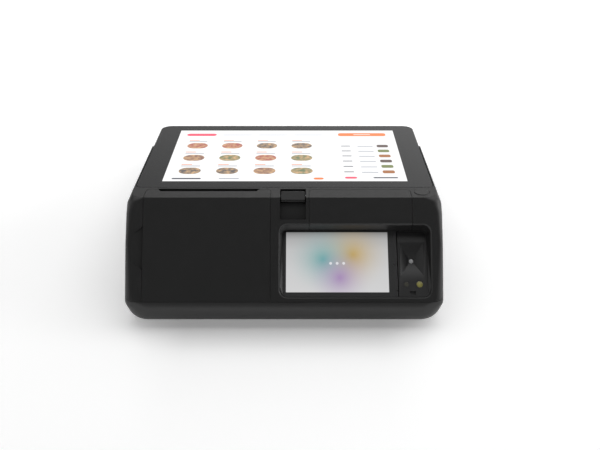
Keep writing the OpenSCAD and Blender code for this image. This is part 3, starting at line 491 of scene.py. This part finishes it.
class PaintShop:
    """Makes each finish's material once and hands it out by name."""

    def __init__(self, groups: ShaderGroups) -> None:
        """Keeps the shared groups and an empty shelf."""
        self.groups = groups
        self.shelf: dict[str, Material] = {}

    @staticmethod
    def blank(name: str) -> tuple[Material, Sketch, Node]:
        """Starts a node material and returns it with its sketch and its Principled shader."""
        made = bpy.data.materials.new(name)
        made.use_nodes = True
        return made, Sketch(made.node_tree), made.node_tree.nodes["Principled BSDF"]

    def finish(self, look: Finish) -> Material:
        """The material of a plain finish, made on first use.

        Args:
            look: The finish.

        Returns:
            Its material.
        """
        if look.name in self.shelf:
            return self.shelf[look.name]
        made, s, shader = self.blank(look.name)
        turn = s.node("ShaderNodeMapping", {"Vector": s.place(), "Scale": look.stretch})
        grain = s.group(self.groups.grain, {"Place": turn.outputs[0], "Grain Scale": look.grain_scale,
                                            "Patch Scale": look.patch_scale})
        low = tuple(c * (1 - look.patch_share) for c in look.colour)
        high = tuple(min(1.0, c * (1 + look.patch_share)) for c in look.colour)
        smooth = look.roughness - look.rough_share / 2
        bump = s.node("ShaderNodeBump", {"Strength": BUMP_STRENGTH, "Distance": look.grain_mm * MM,
                                         "Height": grain["Height"]})
        s.fill(shader, {
            "Base Color": s.mix(grain["Patch"], low, high),
            "Roughness": s.math(Op.MULTIPLY_ADD, grain["Scuff"], look.rough_share, smooth),
            "Metallic": look.metallic,
            "Specular IOR Level": look.specular,
            "Normal": bump.outputs[0],
        })
        self.shelf[look.name] = made
        return made

    @staticmethod
    def plane(s: Sketch, place: tuple[Vector, Vector]) -> Spot:
        """The sockets of the millimetres across and along a screen's plane."""
        turn = s.node("ShaderNodeMapping", {"Vector": s.place(), "Scale": (1 / MM, 1 / MM, 1 / MM),
                                            "Location": place[0], "Rotation": place[1]})
        return s.split(turn.outputs[0])[:2]

    def box(self, s: Sketch, at: Spot, shape: Box) -> NodeSocket:
        """The mask of a rounded box, read at the sockets of a screen's two coordinates."""
        half_w, half_h = shape.width / 2, shape.height / 2
        radius = min(shape.radius, half_w, half_h)
        return s.group(self.groups.box, {
            "X": at[0], "Y": at[1], "Centre X": shape.x, "Centre Y": shape.y, "Half Width": half_w,
            "Half Height": half_h, "Radius": radius, "Soft": SCREEN_EDGE_MM})["Mask"]

    def light_up(self, s: Sketch, shader: Node, look: Glass, lit: NodeSocket,
                 picture: NodeSocket) -> None:
        """Makes a screen's glass, dark and a little hazy, with a picture as its light.

        Args:
            s: The material's sketch.
            shader: Its Principled shader.
            look: The glass.
            lit: The mask of the lit area.
            picture: The picture's colour.
        """
        haze = s.group(self.groups.grain, {"Place": s.place(), "Grain Scale": look.grain_scale,
                                           "Patch Scale": look.patch_scale})
        s.fill(shader, {
            "Emission Color": s.mix(lit, Ink.BLACK.value, picture),
            "Emission Strength": 1.0,
            "Base Color": s.mix(haze["Patch"], look.dark, look.pale),
            "Roughness": s.math(Op.MULTIPLY_ADD, haze["Scuff"], look.rough_share, look.roughness),
            "IOR": GLASS_IOR,
        })


class Workshop:
    """Turns CAD nodes into softened, smooth-shaded pieces."""

    def __init__(self, frame: dict, paint: PaintShop) -> None:
        """Keeps the loaded frame and the finishes, and reads which body carries each node."""
        self.nodes = frame["nodes"]
        self.paint = paint
        groups = frame["record"]["behaviour"]["bodies"]
        self.body_of = {node: Body(body) for body, nodes in groups.items() for node in nodes}
        self.slot_of = {row["node"]: row["material_slot"] for row in frame["record"]["subparts"]}

    def adopt(self, piece: Object, node: str) -> None:
        """Lets a piece stand for a CAD node, on that node's body."""
        body = self.body_of[node].value
        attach(piece, body)
        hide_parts(node)
        LOG.info("%s stands for %s on %s", piece.name, node, body)

    def soften(self, node: str, material: Material, bevel_mm: float) -> None:
        """Replaces a node by a merged copy with softened edges and smooth curves.

        Args:
            node: The CAD node.
            material: Its material.
            bevel_mm: The width of the softened edges, or 0 for none.
        """
        mesh = bpy.data.meshes.new(node + "_skin")
        work = bmesh.new()
        work.from_mesh(self.nodes[node].data)
        bmesh.ops.remove_doubles(work, verts=work.verts, dist=MERGE_M)
        bmesh.ops.dissolve_degenerate(work, edges=work.edges, dist=MERGE_M)
        bmesh.ops.dissolve_limit(work, angle_limit=math.radians(FLAT_DEG), verts=work.verts, edges=work.edges)
        for face in work.faces:
            face.smooth = True
            face.material_index = 0
        for edge in work.edges:
            edge.smooth = len(edge.link_faces) == 2 and edge.calc_face_angle(0.0) < math.radians(SHARP_DEG)
        work.to_mesh(mesh)
        work.free()
        mesh.materials.append(material)
        piece = bpy.data.objects.new(node + "_skin", mesh)
        bpy.context.scene.collection.objects.link(piece)
        if bevel_mm:
            bevel = piece.modifiers.new("softened edges", "BEVEL")
            bevel.width = bevel_mm * MM
            bevel.segments = BEVEL_STEPS
            bevel.limit_method = "ANGLE"
            bevel.angle_limit = math.radians(SHARP_DEG + BEVEL_EXTRA_DEG)
            bevel.use_clamp_overlap = True
        normals = piece.modifiers.new("face normals", "WEIGHTED_NORMAL")
        normals.keep_sharp = True
        normals.weight = NORMAL_WEIGHT
        self.adopt(piece, node)

    def dress(self, looks: dict[str, tuple[Finish, float]]) -> None:
        """Softens several nodes, each with its finish and the width of its edges in millimetres."""
        for node, (look, bevel_mm) in looks.items():
            self.soften(node, self.paint.finish(look), bevel_mm)


class Repeats:
    """Geometry Nodes trees for small pieces that repeat."""

    def __init__(self, paint: PaintShop) -> None:
        """Keeps the finishes."""
        self.paint = paint

    @staticmethod
    def tree(name: str, sizes: dict[str, float]) -> tuple[Sketch, Sockets]:
        """Starts a geometry tree with named sizes, and returns its sketch and its input sockets."""
        made = bpy.data.node_groups.new(name, "GeometryNodeTree")
        made.interface.new_socket("Places", in_out="INPUT", socket_type=Socket.GEOMETRY.value)
        made.interface.new_socket("Material", in_out="INPUT", socket_type=Socket.MATERIAL.value)
        made.interface.new_socket("Pieces", in_out="OUTPUT", socket_type=Socket.GEOMETRY.value)
        for label, value in sizes.items():
            socket = made.interface.new_socket(label, in_out="INPUT", socket_type=Socket.VALUE.value)
            socket.default_value = value
        sketch = Sketch(made)
        return sketch, sketch.node("NodeGroupInput").outputs

    @staticmethod
    def close(s: Sketch, given: Sockets, shape: NodeSocket) -> None:
        """Repeats a shape at every place, then realizes it and gives it its material."""
        spread = s.node("GeometryNodeInstanceOnPoints", {"Points": given["Places"], "Instance": shape})
        real = s.node("GeometryNodeRealizeInstances", {"Geometry": spread.outputs[0]})
        paint = s.node("GeometryNodeSetMaterial",
                       {"Geometry": real.outputs[0], "Material": given["Material"]})
        s.node("NodeGroupOutput", {"Pieces": paint.outputs[0]})

    def grow(self, name: str, s: Sketch, sizes: dict[str, float], places: list[Vector],
             look: Finish) -> Object:
        """Runs a tree on a set of places and keeps its plain mesh.

        Args:
            name: The piece's name.
            s: The tree's sketch.
            sizes: The sizes set on the modifier, in metres.
            places: Where the shape repeats, in metres.
            look: The finish.

        Returns:
            The finished object, not yet on a body.
        """
        seed_mesh = bpy.data.meshes.new(name + "_places")
        seed_mesh.from_pydata(places, [], [])
        seed = bpy.data.objects.new(name + "_places", seed_mesh)
        bpy.context.scene.collection.objects.link(seed)
        run = seed.modifiers.new("repeat", "NODES")
        run.node_group = s.tree
        for label, value in {"Material": self.paint.finish(look), **sizes}.items():
            run[s.tree.interface.items_tree[label].identifier] = value
        ready = seed.evaluated_get(bpy.context.evaluated_depsgraph_get())
        mesh = bpy.data.meshes.new_from_object(ready)
        seed.modifiers.remove(run)
        bpy.data.objects.remove(seed)
        mesh.name = name
        made = bpy.data.objects.new(name, mesh)
        bpy.context.scene.collection.objects.link(made)
        return made

    def studs(self, name: str, profile: Pairs, places: list[Vector], look: Finish) -> Object:
        """Turned studs, such as feet and screw heads, repeated at several places.

        Args:
            name: The piece's name.
            profile: Radius and height pairs in millimetres, from the axis round to the axis.
            places: Where the studs stand, in metres.
            look: The finish.

        Returns:
            The finished object.
        """
        kinds = ("Radius", "Height")
        sizes = {f"{kind} {i}": row[k] * MM for i, row in enumerate(profile) for k, kind in enumerate(kinds)}
        s, given = self.tree(name + "_tree", sizes)
        line = s.node("GeometryNodeCurvePrimitiveLine")
        count = s.node("GeometryNodeResampleCurve", {"Curve": line.outputs[0], "Count": len(profile)})
        index = s.node("GeometryNodeInputIndex").outputs[0]
        spot: list[object] = []
        for kind in kinds:
            total: object = 0.0
            for i in range(len(profile)):
                here = s.math(Op.COMPARE, index, float(i), INDEX_SLACK)
                total = s.math(Op.MULTIPLY_ADD, here, given[f"{kind} {i}"], total)
            spot.append(total)
        bend = s.node("GeometryNodeSetPosition", {
            "Geometry": count.outputs[0], "Position": s.vector(spot[0], s.math(Op.MULTIPLY, spot[1], -1.0))})
        spine = s.node("GeometryNodeCurvePrimitiveCircle",
                       {"Resolution": STUD_FACETS, "Radius": STUD_SPINE_M})
        sweep = s.node("GeometryNodeCurveToMesh",
                       {"Curve": spine.outputs[0], "Profile Curve": bend.outputs[0]})
        merge = s.node("GeometryNodeMergeByDistance",
                       {"Geometry": sweep.outputs[0], "Distance": STUD_MERGE_M})
        self.close(s, given, merge.outputs[0])
        made = self.grow(name, s, sizes, places, look)
        self.outward(made)
        return made

    def bars(self, name: str, size_mm: Triple, places: list[Vector], look: Finish) -> Object:
        """Small square bars, such as socket contacts, repeated at several places.

        Args:
            name: The piece's name.
            size_mm: The bar's size along X, Y and Z.
            places: The bars' middles, in metres.
            look: The finish.

        Returns:
            The finished object.
        """
        sizes = {label: value * MM for label, value in zip(("Length", "Width", "Height"), size_mm)}
        s, given = self.tree(name + "_tree", sizes)
        cube = s.node("GeometryNodeMeshCube", {"Size": s.vector(*(given[label] for label in sizes))})
        self.close(s, given, cube.outputs["Mesh"])
        return self.grow(name, s, sizes, places, look)

    @staticmethod
    def outward(piece: Object) -> None:
        """Merges doubles, turns a piece's faces outwards and shades its curves smooth."""
        work = bmesh.new()
        work.from_mesh(piece.data)
        bmesh.ops.remove_doubles(work, verts=work.verts, dist=SEAM_MERGE_M)
        bmesh.ops.recalc_face_normals(work, faces=work.faces)
        for edge in work.edges:
            edge.smooth = edge.calc_face_angle(0.0) < math.radians(SHARP_DEG)
        for face in work.faces:
            face.smooth = True
        work.to_mesh(piece.data)
        work.free()


@dataclass
class CaseShells:
    """The two case shells, the service panel and the display's frame."""

    shop: Workshop
    edge_mm: float = 0.22
    base_edge_mm: float = 0.35

    def build(self) -> None:
        """Dresses the shells."""
        self.shop.dress({
            "rear_housing": (SATIN_BLACK, self.edge_mm),
            "base_tray": (SATIN_BLACK, self.base_edge_mm),
            "service_panel": (SATIN_BLACK, self.edge_mm),
            "display_frame": (SATIN_BLACK, self.edge_mm),
        })


@dataclass
class MainDisplay:
    """The touch display: a gloss cover glass over a lit panel with a plain ordering screen."""

    shop: Workshop
    lines: CaseLines
    edge_mm: float = 0.25
    lit: Box = Box(0.0, 103.7, 217.0, 135.6, 0.4)
    tiles: Box = Box(-32.0, 96.5, 136.0, 99.0, 0.1)
    tile_count: tuple[int, int] = (4, 3)
    goods: tuple[Colour, ...] = ((0.20, 0.05, 0.015), (0.42, 0.20, 0.03), (0.40, 0.04, 0.015),
                                 (0.09, 0.14, 0.02), (0.03, 0.02, 0.018))
    swirl_scale: float = 0.22
    swirl_detail: float = 3.0
    swirl_gain: float = 2.6
    swirl_shift: float = -0.9
    picture: Box = Box(-4.0, -3.0, 20.0, 15.5, 7.7)
    tile_bars: tuple[tuple[Box, Ink], ...] = (
        (Box(-4.5, 9.0, 18.0, 2.0, 0.8), Ink.GREY),
        (Box(-8.5, 12.6, 10.0, 1.6, 0.7), Ink.WARM),
    )
    header: Box = Box(0.0, 42.0, 212.0, 9.0, 0.1)
    buttons: tuple[tuple[Box, Ink], ...] = (
        (Box(76.0, 103.0, 56.0, 130.0, 2.5), Ink.SHEET),
        (Box(76.0, 159.0, 48.0, 9.0, 3.0), Ink.WARM),
        (Box(76.0, 159.0, 17.0, 1.6, 0.8), Ink.CREAM),
        (Box(90.0, 44.0, 22.0, 2.6, 1.2), Ink.DARK),
        (Box(59.0, 44.0, 11.0, 4.4, 2.2), Ink.ROSE),
        (Box(-86.0, 158.5, 30.0, 7.0, 3.5), Ink.ROSE),
        (Box(-50.0, 158.5, 30.0, 7.0, 3.5), Ink.PALE),
        (Box(-14.0, 158.5, 30.0, 7.0, 3.5), Ink.PALE),
        (Box(22.0, 158.5, 30.0, 7.0, 3.5), Ink.PALE),
        (Box(-88.0, 42.0, 26.0, 2.8, 1.3), Ink.DARK),
        (Box(-50.0, 42.0, 18.0, 2.0, 0.9), Ink.GREY),
        (Box(30.0, 42.0, 9.0, 4.6, 2.3), Ink.WARM),
    )
    row_count: int = 6
    row_start: tuple[float, float] = (76.0, 58.0)
    row_pitch: float = 13.5
    row_picture: Box = Box(18.0, 0.0, 11.0, 7.2, 2.0)
    row_tints: tuple[Ink, ...] = (Ink.BROWN, Ink.OLIVE, Ink.UMBER)
    row_bars: tuple[tuple[Box, Ink], ...] = (
        (Box(1.0, -1.4, 15.0, 1.7, 0.8), Ink.GREY),
        (Box(-1.5, 1.8, 10.0, 1.3, 0.6), Ink.PALE),
        (Box(-18.0, 0.0, 9.0, 1.7, 0.8), Ink.DARK),
    )

    def build(self) -> None:
        """Dresses the glass and the panel behind it."""
        self.shop.soften("main_glass", self._glass(), self.edge_mm)
        self.shop.dress({"main_lcd": (PANEL_BACK, 0.0), "display_screws": (STEEL, 0.0)})

    def _tiles(self, s: Sketch, at: Spot, colour: NodeSocket) -> NodeSocket:
        """Draws the grid of goods: a plain picture disc and two bars on each tile.

        Args:
            s: The material's sketch.
            at: The plane's coordinate sockets.
            colour: The colour drawn so far.

        Returns:
            The new colour's socket.
        """
        area, (columns, rows) = self.tiles, self.tile_count
        cell: list[NodeSocket] = []
        number: list[NodeSocket] = []
        for value, middle, size, count in ((at[0], area.x, area.width, columns),
                                           (at[1], area.y, area.height, rows)):
            pitch = size / count
            shifted = s.math(Op.DIVIDE, s.math(Op.SUBTRACT, value, middle - size / 2), pitch)
            number.append(s.math(Op.FLOOR, shifted))
            cell.append(s.math(Op.MULTIPLY, s.math(Op.SUBTRACT, s.math(Op.FRACT, shifted), 0.5), pitch))
        chance = s.node("ShaderNodeTexWhiteNoise", {"Vector": s.vector(*number)}, noise_dimensions="2D")
        stops = tuple((i / len(self.goods), tint) for i, tint in enumerate(self.goods))
        goods = s.ramp(chance.outputs["Value"], stops, stepped=True)
        swirl = s.noise(s.vector(*at), self.swirl_scale, self.swirl_detail, noise_dimensions="2D")
        shade = s.math(Op.MULTIPLY_ADD, swirl, self.swirl_gain, self.swirl_shift, clamp=True)
        picture = s.mix(shade, goods, Ink.SAND.value)
        box = self.shop.paint.box
        inside = box(s, at, area)
        for shape, tint in ((self.picture, picture), *((bar, ink.value) for bar, ink in self.tile_bars)):
            colour = s.mix(s.math(Op.MULTIPLY, inside, box(s, tuple(cell), shape)), colour, tint)
        return colour

    def _drawing(self) -> list[tuple[Box, Ink]]:
        """The boxes of the buttons, headings and order rows, in the order they are drawn."""
        boxes = list(self.buttons)
        for row in range(self.row_count):
            x, y = self.row_start[0], self.row_start[1] + row * self.row_pitch
            parts = ((self.row_picture, self.row_tints[row % len(self.row_tints)]), *self.row_bars)
            boxes += [(shape.moved(x, y), ink) for shape, ink in parts]
        return boxes

    def _glass(self) -> Material:
        """The cover glass's material, with the lit screen as its light."""
        paint = self.shop.paint
        made, s, shader = paint.blank(MAIN_GLASS.name)
        at = paint.plane(s, self.lines.top_place())
        colour = s.mix(paint.box(s, at, self.header), Ink.WHITE.value, Ink.HEADER.value)
        colour = self._tiles(s, at, colour)
        for shape, ink in self._drawing():
            colour = s.mix(paint.box(s, at, shape), colour, ink.value)
        paint.light_up(s, shader, MAIN_GLASS, paint.box(s, at, self.lit), colour)
        return made


@dataclass
class CustomerScreen:
    """The customer's small screen in its recess."""

    shop: Workshop
    lines: CaseLines
    edge_mm: float = 0.2
    lit: Box = Box(44.8, 30.7, 86.4, 52.6, 0.3)
    # screen brightness from bottom to top; the darkening towards the top is a painted shadow of the recess's
    # top wall
    levels: Pairs = ((0.0, 0.61), (0.35, 0.58), (0.70, 0.51), (0.88, 0.41), (0.95, 0.31), (1.0, 0.20))
    blue_times: float = 1.005
    glows: tuple[Glow, ...] = (
        Glow(58.0, 37.0, 34.0, (0.50, 0.33, 0.07), 1.0),
        Glow(33.0, 33.0, 34.0, (0.12, 0.36, 0.36), 1.0),
        Glow(47.0, 17.0, 30.0, (0.34, 0.20, 0.44), 0.9),
    )
    dots: tuple[Box, ...] = tuple(Box(x, 29.5, 2.4, 2.4, 1.2) for x in (39.3, 44.8, 50.3))
    dot_tint: Colour = (0.78, 0.78, 0.80)
    dot_share: float = 0.8

    def build(self) -> None:
        """Dresses the screen's glass and the panel behind it."""
        self.shop.soften("customer_glass", self._glass(), self.edge_mm)
        self.shop.dress({"customer_lcd": (SATIN_DARK, 0.0)})

    def _glass(self) -> Material:
        """The screen's material: a pale soft background whose darkening towards the top is a painted shadow
        of the recess's top wall, with tinted glows and three dots.
        """
        paint = self.shop.paint
        made, s, shader = paint.blank(CUSTOMER_GLASS.name)
        at = paint.plane(s, self.lines.screen_place())
        stops = tuple((spot, (level, level, level * self.blue_times)) for spot, level in self.levels)
        # the ramp darkens towards the top: a painted shadow of the recess's top wall
        colour = s.ramp(s.climb(at[1], self.lit.y - self.lit.height / 2, self.lit.height), stops)
        for glow in self.glows:
            spot = s.group(paint.groups.glow, {"X": at[0], "Y": at[1], "Centre X": glow.x, "Centre Y": glow.y,
                                               "Radius": glow.radius})
            colour = s.mix(s.math(Op.MULTIPLY, spot["Mask"], glow.share), colour, glow.tint)
        for dot in self.dots:
            colour = s.mix(s.math(Op.MULTIPLY, paint.box(s, at, dot), self.dot_share), colour, self.dot_tint)
        paint.light_up(s, shader, CUSTOMER_GLASS, paint.box(s, at, self.lit), colour)
        return made


@dataclass
class Scanner:
    """The code scanner beside the customer screen."""

    shop: Workshop

    def build(self) -> None:
        """Dresses the scanner's bezel, lens, lights and camera."""
        self.shop.dress({
            "scanner_bezel": (SCAN_BLACK, 0.25),
            "scanner_lens": (CAMERA_LENS, 0.0),
            "scan_light": (GREY_LIGHT, 0.0),
            "aim_light": (YELLOW_LIGHT, 0.0),
            "scan_camera": (BOARD, 0.15),
        })


@dataclass
class ReceiptPrinter:
    """The receipt printer: its hinged cover, platen, gears, head and paper bucket."""

    shop: Workshop

    def build(self) -> None:
        """Dresses the printer's pieces."""
        self.shop.dress({
            "printer_cover": (SATIN_BLACK, 0.22),
            "hinge_arms": (SATIN_DARK, 0.2),
            "hinge_pins": (STEEL, 0.0),
            "platen_holder": (SATIN_DARK, 0.2),
            "platen_bushes": (BRASS, 0.1),
            "platen_shaft": (STEEL, 0.15),
            "platen_roller": (ROLLER_RUBBER, 0.2),
            "platen_gear": (RESIN, 0.06),
            "idler_gear": (RESIN, 0.06),
            "idler_pin": (STEEL, 0.1),
            "motor_pinion": (BRASS, 0.06),
            "stepper_motor": (SHEET_STEEL, 0.4),
            "printer_chassis": (SHEET_STEEL, 0.12),
            "print_head": (CERAMIC, 0.2),
            "head_heat_sink": (ALUMINIUM, 0.15),
            "head_springs": (STEEL, 0.0),
            "tear_bar": (STEEL, 0.0),
            "paper_bucket": (SATIN_DARK, 0.25),
        })


@dataclass
class Controls:
    """The cover's release lever and the power button."""

    shop: Workshop

    def build(self) -> None:
        """Dresses the lever's and the button's pieces."""
        self.shop.dress({
            "release_lever": (LEVER_BLACK, 0.0),
            "lever_shaft": (STEEL, 0.1),
            "latch_cam": (RESIN, 0.1),
            "lever_spring": (STEEL, 0.0),
            "power_button": (KEY_BLACK, 0.35),
            "power_switch": (STEEL, 0.1),
            "switch_board": (BOARD, 0.1),
        })


@dataclass
class BaseUnit:
    """What sits in and under the base: board, sockets, speaker, feet and screws; sizes in millimetres."""

    shop: Workshop
    repeats: Repeats
    foot_profile: Pairs = ((0.0, 0.5), (1.6, 0.5), (1.9, 0.0), (2.7, 0.0), (3.0, 0.5), (3.8, 0.5),
                           (4.1, 0.0), (6.5, 0.0), (7.0, 0.5), (7.0, 2.0), (0.0, 2.0))
    screw_profile: Pairs = ((0.0, 1.5), (1.1, 0.8), (1.3, 0.0), (2.5, 0.0), (3.0, 0.4), (3.0, 1.2),
                            (1.5, 1.2), (1.5, 36.6), (0.0, 36.6))
    contact_count: int = 8
    contact_pitch: float = 1.27
    contact_size: Triple = (8.0, 0.5, 0.5)
    contact_depth: float = 7.0
    contact_lift: float = 2.2

    def build(self) -> None:
        """Dresses the base's pieces and grows the repeated ones."""
        self.shop.dress({
            "tap_antenna": (BOARD, 0.1),
            "main_board": (BOARD, 0.15),
            "heat_sink": (ALUMINIUM, 0.15),
            "lan_port": (SHEET_STEEL, 0.2),
            "drawer_port": (SATIN_DARK, 0.2),
            "usb_ports": (SHEET_STEEL, 0.15),
            "power_jack": (SATIN_DARK, 0.2),
            "speaker": (SATIN_DARK, 0.3),
            "board_screws": (STEEL, 0.0),
        })
        self._studs()
        self._contacts()

    @staticmethod
    def corners(node: str, reach: float) -> list[Vector]:
        """The places of a node's four equal studs of a given radius, all in metres."""
        low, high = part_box(node)
        across, along = ((low[axis] + reach, high[axis] - reach) for axis in (0, 1))
        return [Vector((x, y, low[2])) for x in across for y in along]

    def _studs(self) -> None:
        """Turns the four rubber feet with ringed soles, and the four case screws with sunk drives."""
        for node, name, profile, look in (("rubber_feet", "foot_soles", self.foot_profile, RUBBER),
                                          ("case_screws", "case_screw_set", self.screw_profile, STEEL)):
            places = self.corners(node, max(radius for radius, _ in profile) * MM)
            self.shop.adopt(self.repeats.studs(name, profile, places, look), node)

    def _contacts(self) -> None:
        """Sets the spring contacts in the network socket."""
        low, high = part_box("lan_port")
        x, z = high[0] - self.contact_depth * MM, low[2] + self.contact_lift * MM
        pitch = self.contact_pitch * MM
        start = (low[1] + high[1] - (self.contact_count - 1) * pitch) / 2
        places = [Vector((x, start + i * pitch, z)) for i in range(self.contact_count)]
        made = self.repeats.bars("lan_contacts", self.contact_size, places, BRASS)
        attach(made, Body.CASE.value)


@dataclass(frozen=True)
class FloorGlow:
    """The floor's own light, by place in metres: X to the right and Y away from the camera.

    A pair of places is a mask's start and the span it grows over.
    """

    base: float = 0.26
    rise: float = 0.6  # for each metre away from the camera
    top: float = 0.45
    front: Pairs = ((0.37, 0.0), (0.62, 0.14), (0.739, 0.17), (0.783, 0.36), (0.826, 0.74), (0.861, 0.72),
                    (0.888, 0.4), (0.95, 0.2))  # the soft shadow in front of the part
    front_y: tuple[float, float] = (-0.35, 0.25)
    front_x: tuple[float, float] = (0.125, -0.04)
    front_lift: float = -0.25
    corner_y: tuple[float, float] = (0.55, 0.15)  # the dim far left corner
    corner_x: tuple[float, float] = (0.1, -2 / 3)
    corner_lift: float = -0.45
    near_y: tuple[float, float] = (-0.6, -2.0)  # behind the camera
    near_lift: float = 0.4

    def strength(self, s: Sketch) -> NodeSocket:
        """Lays the nodes of the floor's light and returns the strength's socket."""
        x, y, _ = s.split(s.place())
        away = s.math(Op.MAXIMUM, y, 0.0)
        total = s.math(Op.MINIMUM, s.math(Op.MULTIPLY_ADD, away, self.rise, self.base), self.top)
        stops = tuple((spot, grey(level)) for spot, level in self.front)
        wide = s.climb(s.math(Op.ABSOLUTE, x), *self.front_x)
        front = s.math(Op.MULTIPLY, s.ramp(s.climb(y, *self.front_y), stops), wide)
        corner = s.math(Op.MULTIPLY, s.climb(y, *self.corner_y), s.climb(x, *self.corner_x))
        for mask, lift in ((front, self.front_lift), (corner, self.corner_lift),
                           (s.climb(y, *self.near_y), self.near_lift)):
            total = s.math(Op.MULTIPLY_ADD, mask, lift, total)
        return total


@dataclass(frozen=True)
class Room:
    """The room's light, by direction: X to the right, Y away from the camera and Z up.

    A pair of directions is a mask's start and the span it grows over.
    """

    levels: Pairs = ((0.0, 0.11), (0.42, 0.15), (0.62, 0.29), (1.0, 0.355))  # from near to far
    side_gain: float = 1.4  # brighter at the far right, dimmer at the far left
    side_least: float = 0.4
    skyline_z: tuple[float, float] = (0.25, -0.25)
    skyline_y: tuple[float, float] = (0.0, 0.5)
    skyline_level: float = 0.55
    band_z: tuple[float, float] = (0.42, -0.3)
    band_y: tuple[float, float] = (0.0, -0.5)
    band_level: float = 1.85

    def build(self) -> None:
        """Makes the world, with a bright band low behind the camera and a glow low behind the part."""
        world = bpy.data.worlds.new("white_room")
        world.use_nodes = True
        s = Sketch(world.node_tree)
        x, y, z = s.split(s.node("ShaderNodeTexCoord").outputs["Generated"])
        walls = s.ramp(s.climb(y, -1.0, 2.0), tuple((spot, grey(level)) for spot, level in self.levels))
        skyline = s.math(Op.MULTIPLY, s.climb(z, *self.skyline_z), s.climb(y, *self.skyline_y))
        band = s.math(Op.MULTIPLY, s.climb(z, *self.band_z), s.climb(y, *self.band_y))
        side = s.math(Op.MULTIPLY, x, s.math(Op.MAXIMUM, y, 0.0))
        strength = s.math(Op.MULTIPLY_ADD, side, self.side_gain, 1.0)
        s.fill(world.node_tree.nodes["Background"], {
            "Color": s.mix(band, s.mix(skyline, walls, grey(self.skyline_level)), grey(self.band_level)),
            "Strength": s.math(Op.MAXIMUM, strength, self.side_least),
        })
        bpy.context.scene.world = world


@dataclass
class Studio:
    """The plain floor, the soft lights and the camera at the photograph's angle."""

    lines: CaseLines
    room: Room = Room()
    floor_glow: FloorGlow = FloorGlow()
    floor_reach: float = 6.0
    floor_z: float = -0.0001
    floor_tints: tuple[float, float] = (0.93, 0.95)
    floor_noise: tuple[float, float] = (1.5, 2.0)
    floor_roughness: float = 0.9
    floor_specular: float = 0.1
    softboxes: tuple[Softbox, ...] = (
        Softbox("ceiling_softbox", (0.3, 1.7, 2.2), (0.3, 1.7, 0.0), 4.0, 62.0),
        Softbox("right_softbox", (1.35, 0.12, 0.52), (0.1, -0.05, 0.06), 0.7, 5.5),
        Softbox("left_softbox", (-1.35, 0.12, 0.52), (-0.1, -0.05, 0.06), 0.7, 1.8),
    )
    camera_x: float = 13.4
    behind: float = 559.7
    above: float = 447.4
    pitch: float = 40.5
    lens: float = 50.8
    sensor: float = 36.0
    clip_m: float = 0.01

    def build(self) -> None:
        """Sets the floor, the world, the lights and the camera."""
        self._floor()
        self.room.build()
        for box in self.softboxes:
            self._light(box)
        self._camera()
        view = bpy.context.scene.view_settings
        view.view_transform = "Standard"
        view.look = "None"

    def _floor(self) -> None:
        """Lays a wide pale floor with a soft light of its own."""
        mesh = bpy.data.meshes.new("studio_floor")
        corners = ((-1, -1), (1, -1), (1, 1), (-1, 1))
        mesh.from_pydata([(x * self.floor_reach, y * self.floor_reach, self.floor_z) for x, y in corners], [],
                         [(0, 1, 2, 3)])
        floor = bpy.data.objects.new("studio_floor", mesh)
        bpy.context.scene.collection.objects.link(floor)
        made, s, shader = PaintShop.blank("pale_floor")
        dark, pale = (grey(level) for level in self.floor_tints)
        s.fill(shader, {
            "Base Color": s.mix(s.noise(s.place(), *self.floor_noise), dark, pale),
            "Roughness": self.floor_roughness,
            "Specular IOR Level": self.floor_specular,
            "Emission Color": Ink.WHITE.value,
            "Emission Strength": self.floor_glow.strength(s),
        })
        mesh.materials.append(made)

    @staticmethod
    def _light(box: Softbox) -> None:
        """Hangs a square softbox."""
        data = bpy.data.lights.new(box.name, "AREA")
        data.size = box.size
        data.energy = box.power
        lamp = bpy.data.objects.new(box.name, data)
        lamp.location = box.at
        lamp.rotation_euler = (Vector(box.towards) - Vector(box.at)).to_track_quat("-Z", "Y").to_euler()
        bpy.context.scene.collection.objects.link(lamp)

    def _camera(self) -> None:
        """Stands the camera where the photograph was taken from."""
        data = bpy.data.cameras.new("photo_camera")
        data.lens = self.lens
        data.sensor_width = self.sensor
        data.sensor_fit = "HORIZONTAL"
        data.clip_start = self.clip_m
        camera = bpy.data.objects.new("photo_camera", data)
        crease = self.lines.crease
        camera.location = Vector((self.camera_x, crease.y - self.behind, crease.z + self.above)) * MM
        camera.rotation_euler = (math.radians(90.0 - self.pitch), 0.0, 0.0)
        bpy.context.scene.collection.objects.link(camera)
        bpy.context.scene.camera = camera


def main() -> None:
    """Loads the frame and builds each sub-assembly in order."""
    logging.basicConfig(level=logging.INFO, format="%(name)s: %(message)s")
    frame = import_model()
    lines = CaseLines()
    paint = PaintShop(ShaderGroups())
    shop = Workshop(frame, paint)
    Studio(lines).build()
    for part in (CaseShells(shop), MainDisplay(shop, lines), CustomerScreen(shop, lines), Scanner(shop),
                 ReceiptPrinter(shop), Controls(shop), BaseUnit(shop, Repeats(paint))):
        LOG.info("building %s", type(part).__name__)
        part.build()


if __name__ == "__main__":
    main()
